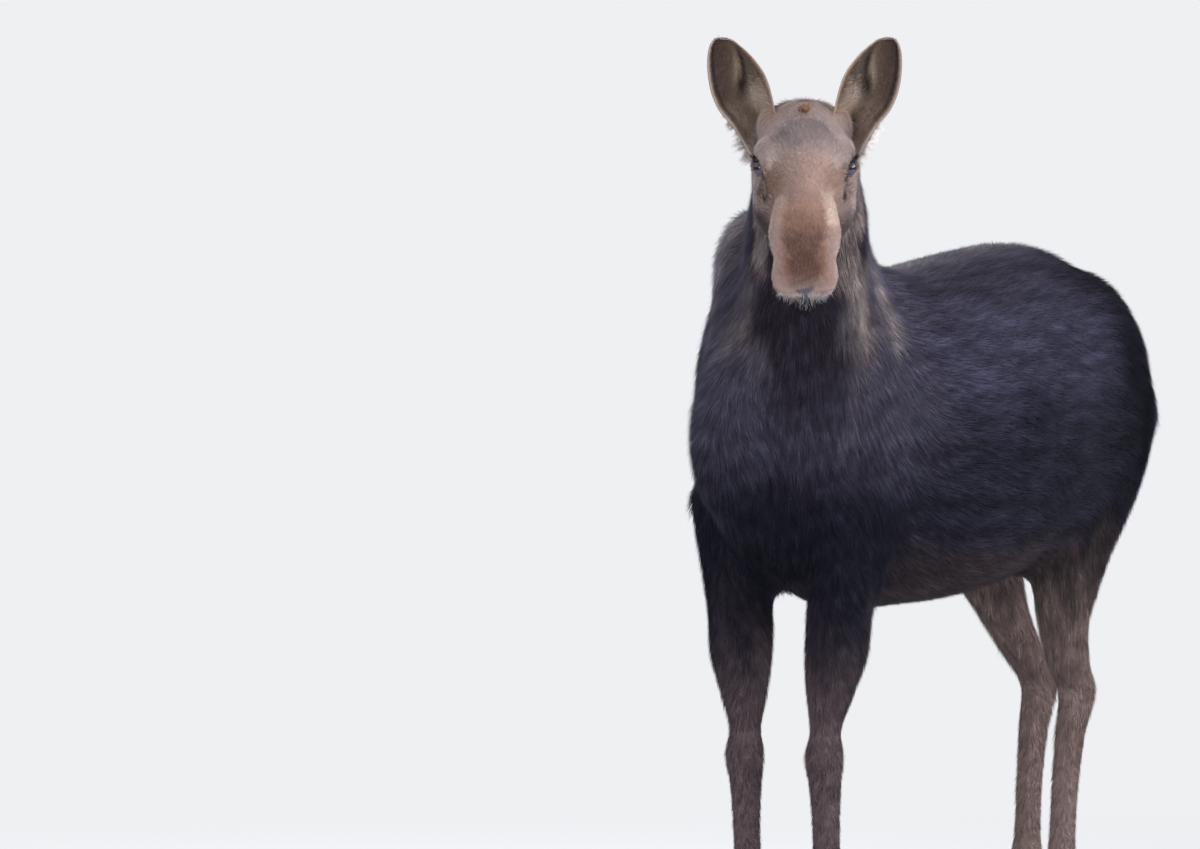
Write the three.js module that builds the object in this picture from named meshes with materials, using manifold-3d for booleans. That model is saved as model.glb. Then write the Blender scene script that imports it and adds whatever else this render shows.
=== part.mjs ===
// Cow moose in her winter coat, life size, standing still with her head turned to her left.
// Millimetres, +Z up. She faces -Y and her left side is +X. The floor is z = 0 and the origin is
// the middle of the whole animal's box on the floor. Every outline is the tips of the coat.
import * as THREE from "three";
import { mergeVertices } from "three/addons/utils/BufferGeometryUtils.js";
import Module from "manifold-3d";

const wasm = await Module();
wasm.setup();

// ---------------------------------------------------------------- driving dimensions

const GAP = 0.5; // clear of a neighbour that a piece is cut by
const WITHERS = 1800; // top of the hump above the floor
const HEAD = {
  azimuth: 31, // degrees that the face is turned to her left
  pitch: 28, // degrees that the nose drops below level
  eyes: [318, -452, 1886], // the point midway between the eyes
  eyeAlong: 205, // the eyes, behind the crown, and above the head's own axis
  eyeAbove: 35,
};
const EYE = { radius: 21, along: 218, side: 92, above: 31 };
const EAR = { along: 48, above: 28, ahead: 40, pivot: 64, tilt: 18, turn: 12, wall: 8 };
const TAIL = { length: 165, width: 70, depth: 52, lean: 10, root: [1402, 1535] };
const HOOF = { height: 84, length: 146, width: 55, splay: 7, ahead: 14 };
const DEWCLAW = { height: 176, radii: [13, 16, 26], apart: 22, sunk: 4 };
const HIND_SHIFT = { left: -190, right: 75 }; // how far each hind foot is set off its square place
const LEG_CUT = { fore: 555, hind: 640 }; // the knee and the hock, where each leg is parted
const HIP = 1280; // height of the hip joint

const COLOURS = {
  body: new THREE.Color(0.055, 0.05, 0.055),
  face: new THREE.Color(0.36, 0.25, 0.19),
  leg: new THREE.Color(0.2, 0.165, 0.14),
  horn: new THREE.Color(0.045, 0.04, 0.04),
  eye: new THREE.Color(0.02, 0.015, 0.012),
};

// ---------------------------------------------------------------- small helpers

const v3 = (x, y, z) => new THREE.Vector3(x, y, z);
const radians = THREE.MathUtils.degToRad;
const SIDES = { left: 1, right: -1 };

/** A smooth value through the rows of a table: a cubic between rows, flat beyond the ends. */
function through(rows, key, at) {
  const n = rows.length;
  if (at <= rows[0].at) return rows[0][key];
  if (at >= rows[n - 1].at) return rows[n - 1][key];
  const i = rows.findIndex((row) => row.at > at) - 1;
  const slope = (j) => {
    const a = rows[Math.max(j - 1, 0)];
    const b = rows[Math.min(j + 1, n - 1)];
    return (b[key] - a[key]) / (b.at - a.at);
  };
  const step = rows[i + 1].at - rows[i].at;
  const t = (at - rows[i].at) / step;
  const [t2, t3] = [t * t, t * t * t];
  return (
    (2 * t3 - 3 * t2 + 1) * rows[i][key] +
    (t3 - 2 * t2 + t) * step * slope(i) +
    (3 * t2 - 2 * t3) * rows[i + 1][key] +
    (t3 - t2) * step * slope(i + 1)
  );
}

// ---------------------------------------------------------------- forms
// A form is a function of a point that is about the distance to its surface, negative inside.

/** The frame of a form: an origin and three axes, to turn a point into (side, along, above). */
const frame = (origin, side, along, above) => (p) => {
  const d = v3().subVectors(p, origin);
  return [d.dot(side), d.dot(along), d.dot(above)];
};
const STRAIGHT = frame(v3(0, 0, 0), v3(1, 0, 0), v3(0, 1, 0), v3(0, 0, 1));

/** An ellipsoid with its centre and radii given as side, along and above. */
function lobe(place, centre, radii) {
  return (p) => {
    const q = place(p).map((x, i) => x - centre[i]);
    const near = Math.hypot(...q.map((x, i) => x / radii[i]));
    const steep = Math.hypot(...q.map((x, i) => x / radii[i] ** 2));
    return steep < 1e-9 ? -Math.min(...radii) : (near * (near - 1)) / steep;
  };
}

/**
 * A long form cut in slices: each row has the slice's place, its middle to the side and above,
 * its half width and its reach above and below, and the roundness of its upper half. The form
 * closes past its first and last row in a round end of the given lengths.
 */
function slices(place, rows, ends, order = ["along", "side", "above"]) {
  const pick = order.map((name) => ["side", "along", "above"].indexOf(name));
  const [first, last] = [rows[0].at, rows[rows.length - 1].at];
  return (p) => {
    const q = place(p);
    const at = q[pick[0]];
    const u = q[pick[1]] - through(rows, "side", at);
    const v = q[pick[2]] - through(rows, "middle", at);
    const half = through(rows, "half", at);
    const reach = through(rows, v > 0 ? "over" : "under", at);
    const power = v > 0 ? through(rows, "round", at) : 2.1;
    const past = at < first ? (first - at) / ends[0] : at > last ? (at - last) / ends[1] : 0;
    const end = at < first ? ends[0] : ends[1];
    const parts = [Math.abs(u) / half, Math.abs(v) / reach, past];
    const sizes = [half, reach, end];
    const sum = parts.reduce((s, x) => s + x ** power, 0);
    if (sum < 1e-9) return -Math.min(half, reach);
    const near = sum ** (1 / power);
    const steep = Math.hypot(...parts.map((x, i) => x ** (power - 1) / sizes[i]));
    return (near - 1) / (steep * near ** (1 - power));
  };
}

/** One row of a form cut in slices, from the top and bottom of its outline. */
const row = (at, top, bottom, middle, half, round = 2.1, side = 0) => ({
  at,
  side,
  middle,
  half,
  over: top - middle,
  under: middle - bottom,
  round,
});

/** The forms joined as one, with soft valleys of the given width between them. */
function blend(width, ...forms) {
  return (p) =>
    forms.reduce((a, form) => {
      const b = form(p);
      const h = Math.max(width - Math.abs(a - b), 0) / width;
      return Math.min(a, b) - (h * h * width) / 4;
    }, 1e6);
}

// ---------------------------------------------------------------- the trunk

const TRUNK_ROWS = [
  row(-215, 1480, 1080, 1270, 112), // breast
  row(-110, 1640, 985, 1290, 160, 1.9), // points of the shoulders
  row(40, WITHERS, 920, 1290, 208, 1.7), // withers
  row(220, WITHERS - 92, 870, 1280, 272, 1.7), // girth
  row(420, 1648, 867, 1265, 327, 1.95), // back
  row(640, 1664, 875, 1265, 347), // barrel
  row(850, 1689, 911, 1290, 333), // loin
  row(1030, 1695, 1000, 1340, 298, 2.05), // hips
  row(1190, 1620, 1085, 1370, 254, 2.1), // croup
  row(1285, 1562, 1170, 1385, 214, 2.2), // buttocks
];

/** Both of a pair of lobes, one on each side. */
const pair = (place, [side, along, above], radii) => [
  lobe(place, [side, along, above], radii),
  lobe(place, [-side, along, above], radii),
];

const trunkForm = blend(
  70,
  slices(STRAIGHT, TRUNK_ROWS, [105, 118]),
  ...pair(STRAIGHT, [86, 30, 1645], [82, 165, 150]), // shoulder blades
  ...pair(STRAIGHT, [150, 75, 1300], [86, 160, 320]), // shoulder and upper arm
  ...pair(STRAIGHT, [162, 1095, 1345], [108, 196, 268]), // haunch
);

// ---------------------------------------------------------------- the head

const azimuth = radians(HEAD.azimuth);
const pitch = radians(HEAD.pitch);
const headSide = v3(Math.cos(azimuth), Math.sin(azimuth), 0);
const headAlong = v3(
  Math.sin(azimuth) * Math.cos(pitch),
  -Math.cos(azimuth) * Math.cos(pitch),
  -Math.sin(pitch),
);
const headUp = v3(
  Math.sin(azimuth) * Math.sin(pitch),
  -Math.cos(azimuth) * Math.sin(pitch),
  Math.cos(pitch),
);
const crown = v3(...HEAD.eyes)
  .addScaledVector(headAlong, -HEAD.eyeAlong)
  .addScaledVector(headUp, -HEAD.eyeAbove);
const headFrame = frame(crown, headSide, headAlong, headUp);
/** A point given in the head's own frame. */
const inHead = (side, along, above) =>
  crown
    .clone()
    .addScaledVector(headSide, side)
    .addScaledVector(headAlong, along)
    .addScaledVector(headUp, above);

const HEAD_ROWS = [
  row(30, 88, -120, 0, 90, 2.5), // poll
  row(100, 101, -140, 0, 101, 2.5), // forehead
  row(170, 103, -148, 5, 103, 2.4), // brow
  row(235, 98, -142, 5, 92, 2.2), // eyes
  row(305, 89, -120, 0, 74, 2), // cheeks
  row(370, 84, -102, -4, 62, 2), // bridge of the nose
  row(430, 84, -92, -4, 63, 2.3),
  row(480, 84, -86, -2, 70, 2.5), // nostrils
  row(530, 71, -88, -6, 69, 2.5),
  row(572, 42, -92, -18, 65, 2.4), // upper lip
];

const headForm = blend(
  26,
  slices(headFrame, HEAD_ROWS, [70, 32]),
  ...pair(headFrame, [82, 196, 54], [28, 52, 30]), // brows over the eyes
  ...pair(headFrame, [66, 185, -64], [46, 115, 76]), // cheeks
  ...pair(headFrame, [44, 490, 12], [34, 56, 46]), // nostrils
  ...pair(headFrame, [38, 566, -52], [34, 36, 40]), // upper lip
  ...pair(headFrame, [66, 52, 52], [34, 40, 34]), // roots of the ears
  lobe(headFrame, [0, 492, -92], [44, 76, 34]), // chin
  lobe(headFrame, [0, 70, 82], [46, 56, 26]), // crown between the ears
);

// ---------------------------------------------------------------- the neck

const neckRoot = v3(-6, 12, 1400);
const neckTop = inHead(0, 70, -22);
const neckSpan = neckTop.distanceTo(neckRoot);
const neckAlong = v3().subVectors(neckTop, neckRoot).normalize();
const neckSide = v3(-neckAlong.y, neckAlong.x, 0).normalize();
const neckUp = v3().crossVectors(neckAlong, neckSide);
const neckFrame = frame(neckRoot, neckSide, neckAlong, neckUp);

const NECK_ROWS = [
  row(0, 330, -300, 0, 168, 1.7, 0), // base, between the shoulders
  row(0.25 * neckSpan, 282, -262, 0, 158, 1.8, 12),
  row(0.5 * neckSpan, 232, -196, 0, 148, 1.9, 20),
  row(0.75 * neckSpan, 176, -136, 0, 138, 2, 18), // throat
  row(neckSpan, 120, -130, 0, 112, 2.1, 4), // nape
];
const neckForm = slices(neckFrame, NECK_ROWS, [120, 60]);

// ---------------------------------------------------------------- the legs

/** One row of a leg, cut level: its height, its middle to the side and along, and half sizes. */
const legRow = (at, side, along, half, front, back) => ({
  at,
  side,
  middle: along,
  half,
  over: back,
  under: front,
  round: 2.1,
});

const FORELEG_ROWS = [
  legRow(88, 104, -30, 47, 56, 52), // coronet
  legRow(150, 103, -12, 38, 42, 44), // pastern
  legRow(212, 103, 4, 43, 46, 50), // fetlock
  legRow(285, 103, 4, 35, 37, 42),
  legRow(400, 104, 0, 35, 37, 41), // cannon
  legRow(490, 104, -4, 40, 42, 45),
  legRow(555, 104, -8, 47, 50, 50), // knee
  legRow(615, 105, -4, 38, 44, 48),
  legRow(695, 113, 2, 58, 56, 62),
  legRow(780, 124, 8, 75, 72, 80), // forearm
  legRow(880, 130, 14, 77, 88, 96),
  legRow(980, 142, 20, 80, 108, 118), // elbow
  legRow(1120, 150, 20, 82, 128, 130),
];
const HINDLEG_ROWS = [
  legRow(88, 122, 1188, 47, 56, 52), // coronet
  legRow(150, 121, 1210, 38, 42, 44), // pastern
  legRow(212, 121, 1232, 43, 46, 50), // fetlock
  legRow(290, 121, 1240, 35, 38, 42),
  legRow(420, 122, 1252, 35, 38, 42), // cannon
  legRow(540, 123, 1274, 38, 42, 46),
  legRow(640, 126, 1296, 46, 46, 64), // hock
  legRow(715, 132, 1244, 50, 72, 66),
  legRow(810, 142, 1180, 58, 92, 84), // gaskin
  legRow(910, 154, 1134, 72, 132, 124),
  legRow(1020, 166, 1104, 86, 168, 156), // stifle
  legRow(1150, 170, 1102, 92, 186, 172), // thigh
  legRow(1280, 172, 1106, 96, 182, 184),
];

// ---------------------------------------------------------------- from forms to solids

/** The form's surface on the ray from a point that lies inside it, searched from outside in. */
function reach(form, from, direction, level, furthest) {
  const at = (r) => form(from.clone().addScaledVector(direction, r)) - level;
  const step = furthest / 40;
  let outside = furthest;
  while (outside > step && at(outside - step) > 0) outside -= step;
  let inside = Math.max(outside - step, 0);
  for (let i = 0; i < 18; i += 1) {
    const middle = (inside + outside) / 2;
    if (at(middle) > 0) outside = middle;
    else inside = middle;
  }
  return from.clone().addScaledVector(direction, inside);
}

/**
 * A closed mesh of a form: rings of rays are cast from a row of centres, square to the line
 * through them, and fans of rings close its two ends. level grows the form by that distance.
 */
function cast(form, centres, { segments, fans, level = 0, furthest, up }) {
  const n = centres.length;
  const tangent = (i) =>
    v3().subVectors(centres[Math.min(i + 1, n - 1)], centres[Math.max(i - 1, 0)]).normalize();
  const rays = [];
  const ring = (i, tilt) => {
    const t = tangent(i);
    const a = v3().crossVectors(up, t).normalize();
    const b = v3().crossVectors(t, a);
    for (let j = 0; j < segments; j += 1) {
      const turn = (2 * Math.PI * j) / segments;
      const out = a.clone().multiplyScalar(Math.cos(turn)).addScaledVector(b, Math.sin(turn));
      out.multiplyScalar(Math.cos(tilt)).addScaledVector(t, Math.sin(tilt));
      rays.push([centres[i], out]);
    }
  };
  const fanStep = (fan) => Math.PI / 2 / (fan + 1);
  for (let k = fans[0]; k > 0; k -= 1) ring(0, -k * fanStep(fans[0]));
  for (let i = 0; i < n; i += 1) ring(i, 0);
  for (let k = 1; k <= fans[1]; k += 1) ring(n - 1, k * fanStep(fans[1]));

  const rings = rays.length / segments;
  const poles = [rays.length, rays.length + 1];
  rays.push([centres[0], tangent(0).negate()]);
  rays.push([centres[n - 1], tangent(n - 1)]);
  const points = rays.map(([from, out]) => reach(form, from, out, level, furthest));
  const index = [];
  for (let j = 0; j < segments; j += 1) {
    const k = (j + 1) % segments;
    for (let i = 0; i < rings - 1; i += 1) {
      const [here, next] = [i * segments, (i + 1) * segments];
      index.push(here + j, here + k, next + k);
      index.push(here + j, next + k, next + j);
    }
    const last = (rings - 1) * segments;
    index.push(poles[0], k, j);
    index.push(poles[1], last + j, last + k);
  }
  return meshed(points, index);
}

/** A geometry from its points and triangles. */
function meshed(points, index) {
  const g = new THREE.BufferGeometry();
  g.setFromPoints(points);
  g.setIndex(index);
  return g;
}

/** A geometry as a solid that can be joined and cut. */
function solid(geometry) {
  const bare = geometry.clone();
  bare.deleteAttribute("normal");
  bare.deleteAttribute("uv");
  const merged = mergeVertices(bare, 1e-3);
  const mesh = new wasm.Mesh({
    numProp: 3,
    vertProperties: new Float32Array(merged.attributes.position.array),
    triVerts: new Uint32Array(merged.index.array),
  });
  const made = new wasm.Manifold(mesh);
  if (made.volume() > 0) return made;
  mesh.triVerts.reverse();
  return new wasm.Manifold(mesh);
}

/** The largest body of a solid: a cut can leave slivers beside it. */
const whole = (made) => made.decompose().sort((a, b) => b.volume() - a.volume())[0];

/** A half space as a large box, whose face stands square to a normal through a point. */
function halfSpace(point, normal, shift = 0) {
  const size = 4000;
  const box = new THREE.BoxGeometry(size, size, size);
  const at = point.clone().addScaledVector(normal, size / 2 + shift);
  const turn = new THREE.Quaternion().setFromUnitVectors(v3(0, 0, 1), normal);
  box.applyQuaternion(turn).translate(at.x, at.y, at.z);
  return solid(box);
}

/** Evenly spaced points from one to another, and any number of points along rows. */
const line = (from, to, count) =>
  Array.from({ length: count }, (_, i) => from.clone().lerp(to, i / (count - 1)));

// ---------------------------------------------------------------- the parts

const UP = v3(0, 0, 1);
const flesh = blend(60, trunkForm, neckForm, headForm);
const body = blend(60, trunkForm, neckForm);

// The neck is parted from the trunk by a plane in front of the withers, and from the head by a
// plane from the poll down to the throat, behind the jaw.
const baseNormal = v3(0.28, -0.68, 0.68).normalize();
const basePoint = neckRoot.clone().addScaledVector(baseNormal, 258);
const napeNormal = v3().addScaledVector(headAlong, 0.855).addScaledVector(headUp, 0.519).normalize();
const napePoint = inHead(0, 84, -34);

/** The trunk, cast from a line along it that rises towards the neck. */
function trunkSolid(level = 0) {
  const knots = [
    v3(0, -50, 1385),
    v3(0, 150, 1305),
    v3(0, 450, 1280),
    v3(0, 900, 1300),
    v3(0, 1265, 1370),
  ];
  const centres = new THREE.CatmullRomCurve3(knots).getSpacedPoints(23);
  const rays = { segments: 28, fans: [8, 4], level, furthest: 900, up: UP };
  const cut = halfSpace(basePoint, baseNormal, level - GAP / 2);
  return whole(solid(cast(body, centres, rays)).subtract(cut));
}
const trunkCutter = trunkSolid(GAP);

/** The neck, between the two planes. */
function neckSolid(level = 0) {
  const from = neckRoot.clone().addScaledVector(neckAlong, 150);
  const centres = line(from, inHead(0, 60, -40), 11);
  const rays = { segments: 28, fans: [4, 4], level, furthest: 700, up: UP };
  const made = solid(cast(flesh, centres, rays));
  const kept = made.intersect(halfSpace(basePoint, baseNormal, GAP / 2 - level));
  return whole(kept.subtract(halfSpace(napePoint, napeNormal, level - GAP / 2)));
}

/** The head in front of the nape plane, with no sockets yet. */
function headSolid(level = 0) {
  const knots = [
    [40, -10],
    [120, -14],
    [220, -14],
    [330, -8],
    [430, -4],
    [540, -20],
  ].map(([along, above]) => inHead(0, along, above));
  const centres = new THREE.CatmullRomCurve3(knots).getSpacedPoints(22);
  const rays = { segments: 28, fans: [2, 6], level, furthest: 330, up: headUp };
  const made = solid(cast(flesh, centres, rays));
  return whole(made.intersect(halfSpace(napePoint, napeNormal, GAP / 2 - level)));
}

/** An eyeball, set in its socket on the given side. */
function eyeSolid(side, radius) {
  const at = inHead(side * EYE.side, EYE.along, EYE.above);
  return solid(new THREE.SphereGeometry(radius, 14, 10).translate(at.x, at.y, at.z));
}

// The rims of an ear, seen from in front of it, from its root to its tip: how far each rim lies
// to the side and up from the ear's own origin, and how deep the cup is behind them.
const EAR_ROWS = [
  { inner: [50, 8], outer: [112, -64], depth: 64 },
  { inner: [58, 34], outer: [137, -20], depth: 66 },
  { inner: [64, 62], outer: [162, 18], depth: 62 },
  { inner: [69, 85], outer: [188, 48], depth: 56 },
  { inner: [75, 108], outer: [205, 84], depth: 50 },
  { inner: [84, 132], outer: [213, 122], depth: 44 },
  { inner: [100, 157], outer: [215, 158], depth: 37 },
  { inner: [122, 182], outer: [212, 186], depth: 28 },
  { inner: [148, 202], outer: [203, 204], depth: 17 },
  { inner: [168, 211], outer: [189, 212], depth: 9 },
];

/** An ear: a cup between its two rims, opening forwards and a little out to its side. */
function earSolid(side) {
  const columns = 10;
  const rows = EAR_ROWS.length;
  const [tilt, turn] = [radians(EAR.tilt), radians(EAR.turn)];
  const root = inHead(0, EAR.along, EAR.above);
  const aside = headSide.clone().multiplyScalar(side);
  const rise = headUp.clone().applyAxisAngle(headSide, -tilt);
  const ahead = headAlong.clone().applyAxisAngle(headSide, -tilt);
  const point = (i, j, inset) => {
    const { inner, outer, depth } = EAR_ROWS[i];
    const pull = (inset * 0.7) / Math.hypot(outer[0] - inner[0], outer[1] - inner[1]);
    const s = pull + ((1 - 2 * pull) * j) / columns;
    const bend = Math.sin((Math.PI * j) / columns) ** 0.75 * Math.max(depth - inset, 1);
    const [x, z] = [0, 1].map((k) => inner[k] + (outer[k] - inner[k]) * s);
    const back = bend + Math.tan(turn) * (x - EAR.pivot);
    return root
      .clone()
      .addScaledVector(aside, x - (bend * Math.sin(turn)) / 2)
      .addScaledVector(rise, z - (i === rows - 1 ? inset * 0.6 : 0))
      .addScaledVector(ahead, EAR.ahead - back);
  };
  const points = [];
  for (const inset of [0, EAR.wall])
    for (let i = 0; i < rows; i += 1)
      for (let j = 0; j <= columns; j += 1) points.push(point(i, j, inset));

  const id = (face, i, j) => (face * rows + i) * (columns + 1) + j;
  const index = [];
  const quad = (p, q, r, s) => index.push(p, q, r, p, r, s);
  for (let i = 0; i < rows - 1; i += 1) {
    for (let j = 0; j < columns; j += 1) {
      quad(id(0, i, j), id(0, i, j + 1), id(0, i + 1, j + 1), id(0, i + 1, j));
      quad(id(1, i, j), id(1, i + 1, j), id(1, i + 1, j + 1), id(1, i, j + 1));
    }
    quad(id(0, i, 0), id(0, i + 1, 0), id(1, i + 1, 0), id(1, i, 0));
    quad(id(0, i, columns), id(1, i, columns), id(1, i + 1, columns), id(0, i + 1, columns));
  }
  const top = rows - 1;
  for (let j = 0; j < columns; j += 1) {
    quad(id(0, 0, j), id(1, 0, j), id(1, 0, j + 1), id(0, 0, j + 1));
    quad(id(0, top, j), id(0, top, j + 1), id(1, top, j + 1), id(1, top, j));
  }
  return solid(meshed(points, index));
}

/** How much of a foot's shift the leg has at a height: none at the hip, all from the hock down. */
const shifted = (z) => THREE.MathUtils.smoothstep(HIP - z, 0, HIP - LEG_CUT.hind);

/** The rows of one leg, on its own side and with its foot shifted. */
const setLeg = (rows, side, shift) =>
  rows.map((r) => ({ ...r, side: r.side * side, middle: r.middle + shift * shifted(r.at) }));

/** A whole leg down to the coronet, ready to be parted, clear of the trunk. */
function legSolid(rows) {
  const form = slices(STRAIGHT, rows, [30, 60], ["above", "side", "along"]);
  const centres = [];
  for (let z = HOOF.height + 12; z < rows[rows.length - 1].at + 1; z *= 1.155)
    centres.push(v3(through(rows, "side", z), through(rows, "middle", z), z));
  const rays = { segments: 12, fans: [2, 2], furthest: 300, up: v3(0, 1, 0) };
  return solid(cast(form, centres, rays)).subtract(trunkCutter);
}

/**
 * One toe of a cloven hoof, its tip towards -Y: a wall that widens down to its flat sole, nearly
 * straight on its inner side. way is 1 when the toe lies on the +X side of the cleft.
 */
function hoofSolid(side, along, way) {
  const { length, width, height } = HOOF;
  const tip = [width * 0.2, -length * 0.6];
  const outline = new THREE.Shape();
  outline.moveTo(0, length * 0.36);
  outline.quadraticCurveTo(width * 0.5, length * 0.5, width * 0.88, length * 0.26);
  outline.bezierCurveTo(width * 1.16, -length * 0.1, width * 0.92, -length * 0.42, ...tip);
  outline.quadraticCurveTo(0, -length * 0.2, 0, length * 0.36);
  const prism = { depth: height, steps: 2, curveSegments: 4, bevelEnabled: false };
  const wall = new THREE.ExtrudeGeometry(outline, prism);
  const place = wall.attributes.position;
  for (let i = 0; i < place.count; i += 1) {
    const up = place.getZ(i) / height;
    place.setX(i, place.getX(i) * (1 - 0.16 * up));
    place.setY(i, place.getY(i) * (1 - 0.36 * up) + 18 * up);
  }
  const turn = radians(HOOF.splay);
  wall.scale(way, 1, 1).rotateZ(way * turn);
  wall.translate(side + way * (1.5 + 0.46 * length * Math.sin(turn)), along, 0);
  return solid(wall);
}

/** The short tail, hanging against the buttocks. */
function tailSolid() {
  const { width, depth, length, lean, root } = TAIL;
  const tail = new THREE.SphereGeometry(1, 10, 8).scale(width / 2, depth / 2, length / 2);
  tail.rotateX(radians(lean)).translate(0, root[0], root[1] - length * 0.4);
  return whole(solid(tail).subtract(trunkCutter));
}

/** A dewclaw behind the fetlock, of its true size times grown. */
function dewclawSolid(x, y, z, grown = 1) {
  const [wide, deep, tall] = DEWCLAW.radii.map((r) => r * grown);
  const claw = new THREE.SphereGeometry(1, 7, 5).scale(wide, deep, tall);
  claw.rotateX(radians(-30)).translate(x, y, z);
  return solid(claw);
}

// ---------------------------------------------------------------- the animal

const moose = new THREE.Group();
moose.name = "moose";

/** Adds a part in its own colour. */
function add(name, made, color, roughness = 0.85) {
  const mesh = made.getMesh();
  const g = new THREE.BufferGeometry();
  g.setAttribute("position", new THREE.BufferAttribute(new Float32Array(mesh.vertProperties), 3));
  g.setIndex(new THREE.BufferAttribute(new Uint32Array(mesh.triVerts), 1));
  const faceted = g.toNonIndexed();
  faceted.computeVertexNormals();
  const material = new THREE.MeshStandardMaterial({ color, roughness, metalness: 0 });
  const part = new THREE.Mesh(faceted, material);
  part.name = name;
  moose.add(part);
}

/** Adds one leg in its pieces: upper and lower leg, two dewclaws and the two toes of the hoof. */
function addLeg(end, name, rows) {
  const side = SIDES[name];
  const leg = legSolid(rows);
  const cut = v3(0, 0, LEG_CUT[end]);
  const coronet = v3(0, 0, HOOF.height);
  let lower = leg.subtract(halfSpace(cut, UP, -GAP / 2)).intersect(halfSpace(coronet, UP, GAP));
  const toes = { inner: -side, outer: side };
  const height = DEWCLAW.height;
  const heel = through(rows, "middle", height) + through(rows, "over", height);
  for (const [toe, way] of Object.entries(toes)) {
    const x = through(rows, "side", height) + way * DEWCLAW.apart;
    const at = [x, heel - DEWCLAW.sunk, height];
    add(`dewclaw_${end}_${name}_${toe}`, dewclawSolid(...at), COLOURS.horn, 0.5);
    lower = lower.subtract(dewclawSolid(...at, 1.03));
  }
  add(`${end}leg_upper_${name}`, whole(leg.intersect(halfSpace(cut, UP, GAP / 2))), COLOURS.body);
  add(`${end}leg_lower_${name}`, whole(lower), COLOURS.leg);
  const foot = [rows[0].side, rows[0].middle - HOOF.ahead];
  for (const [toe, way] of Object.entries(toes))
    add(`hoof_${end}_${name}_${toe}`, hoofSolid(...foot, way), COLOURS.horn, 0.45);
}

const earCutter = headSolid(GAP).add(neckSolid(GAP));
let head = headSolid();
for (const side of Object.values(SIDES)) head = head.subtract(eyeSolid(side, EYE.radius + GAP));
add("trunk", trunkSolid(), COLOURS.body);
add("neck", neckSolid(), COLOURS.body);
add("head", whole(head), COLOURS.face);
add("tail", tailSolid(), COLOURS.body);
for (const [name, side] of Object.entries(SIDES)) {
  add(`eye_${name}`, eyeSolid(side, EYE.radius), COLOURS.eye, 0.08);
  add(`ear_${name}`, whole(earSolid(side).subtract(earCutter)), COLOURS.face);
  addLeg("fore", name, setLeg(FORELEG_ROWS, side, 0));
  addLeg("hind", name, setLeg(HINDLEG_ROWS, side, HIND_SHIFT[name]));
}

const box = new THREE.Box3().setFromObject(moose);
const centre = box.getCenter(v3());
moose.position.set(-centre.x, -centre.y, -box.min.z);

export default moose;
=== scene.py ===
"""A standing cow moose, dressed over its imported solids: one skin, a coat of tufts, eyes and hooves.

The body is a set of long forms and lobes joined into one field, in millimetres, in the animal's own
drafting frame (+Z up, -Y forwards, +X its left). The skin is the field's surface, set in by the coat's
depth; the coat is made of many small closed tufts rooted on that skin.
"""

import logging
import math
import time
from collections.abc import Callable, Iterator
from dataclasses import dataclass
from enum import Enum
from itertools import product
from typing import Protocol

import bpy
import numpy as np
from mathutils import Matrix, Vector


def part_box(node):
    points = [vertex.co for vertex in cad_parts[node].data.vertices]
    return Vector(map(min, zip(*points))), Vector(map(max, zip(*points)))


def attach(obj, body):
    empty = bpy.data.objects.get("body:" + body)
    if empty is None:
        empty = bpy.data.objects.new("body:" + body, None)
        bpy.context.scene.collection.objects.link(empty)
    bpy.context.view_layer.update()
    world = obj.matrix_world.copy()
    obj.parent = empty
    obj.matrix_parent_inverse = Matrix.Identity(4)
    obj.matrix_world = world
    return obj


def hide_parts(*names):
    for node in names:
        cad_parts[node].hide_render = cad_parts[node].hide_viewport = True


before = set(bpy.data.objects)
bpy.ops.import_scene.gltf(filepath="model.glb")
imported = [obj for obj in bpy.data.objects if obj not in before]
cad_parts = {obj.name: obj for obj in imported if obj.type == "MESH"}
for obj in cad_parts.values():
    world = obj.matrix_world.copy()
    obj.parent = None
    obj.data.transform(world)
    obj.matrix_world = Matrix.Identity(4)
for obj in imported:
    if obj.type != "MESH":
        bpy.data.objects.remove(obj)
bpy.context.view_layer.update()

logging.basicConfig(level=logging.INFO, format="%(message)s")
LOG = logging.getLogger("moose")

Array = np.ndarray
SEED = 20240
BODY = "root"
MARKINGS = "markings"  # the name under which a piece keeps its colours
SIDES = {1: "left", -1: "right"}
MM = 0.001  # a millimetre in metres
FAR = 400.0  # the value of a field well away from every form, mm
REACH = 150.0  # how far outside a form's box its field is still read, mm
NEAR_SHARE = 0.85  # the surface is looked for this share of a block's diagonal from its corners
# painted shade: the skin takes the hair's colours darkened by this factor
UNDER_HAIR_SHADE = 0.8  # the skin's shade under the hair
REAR = 560.0  # where the rump's coat starts behind the flank's, mm
PATCH = 0.003  # the size of a tuft's patch on the unwrap


# ---------------------------------------------------------------- numbers


def unit(v: Array) -> Array:
    """Vectors scaled to length one along the last axis."""
    return v / np.maximum(np.linalg.norm(v, axis=-1, keepdims=True), 1e-9)


def ramp(x: Array, low: float, high: float) -> Array:
    """A smooth step: 0 below low, 1 above high, and 3t^2 - 2t^3 between. It falls where high < low."""
    t = np.clip((x - low) / (high - low), 0.0, 1.0)
    return t * t * (3.0 - 2.0 * t)


def hump(x: Array, centre: float, width: float) -> Array:
    """A bell: e to the minus square of the distance from the centre over the width."""
    return np.exp(-(((x - centre) / width) ** 2))


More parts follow.
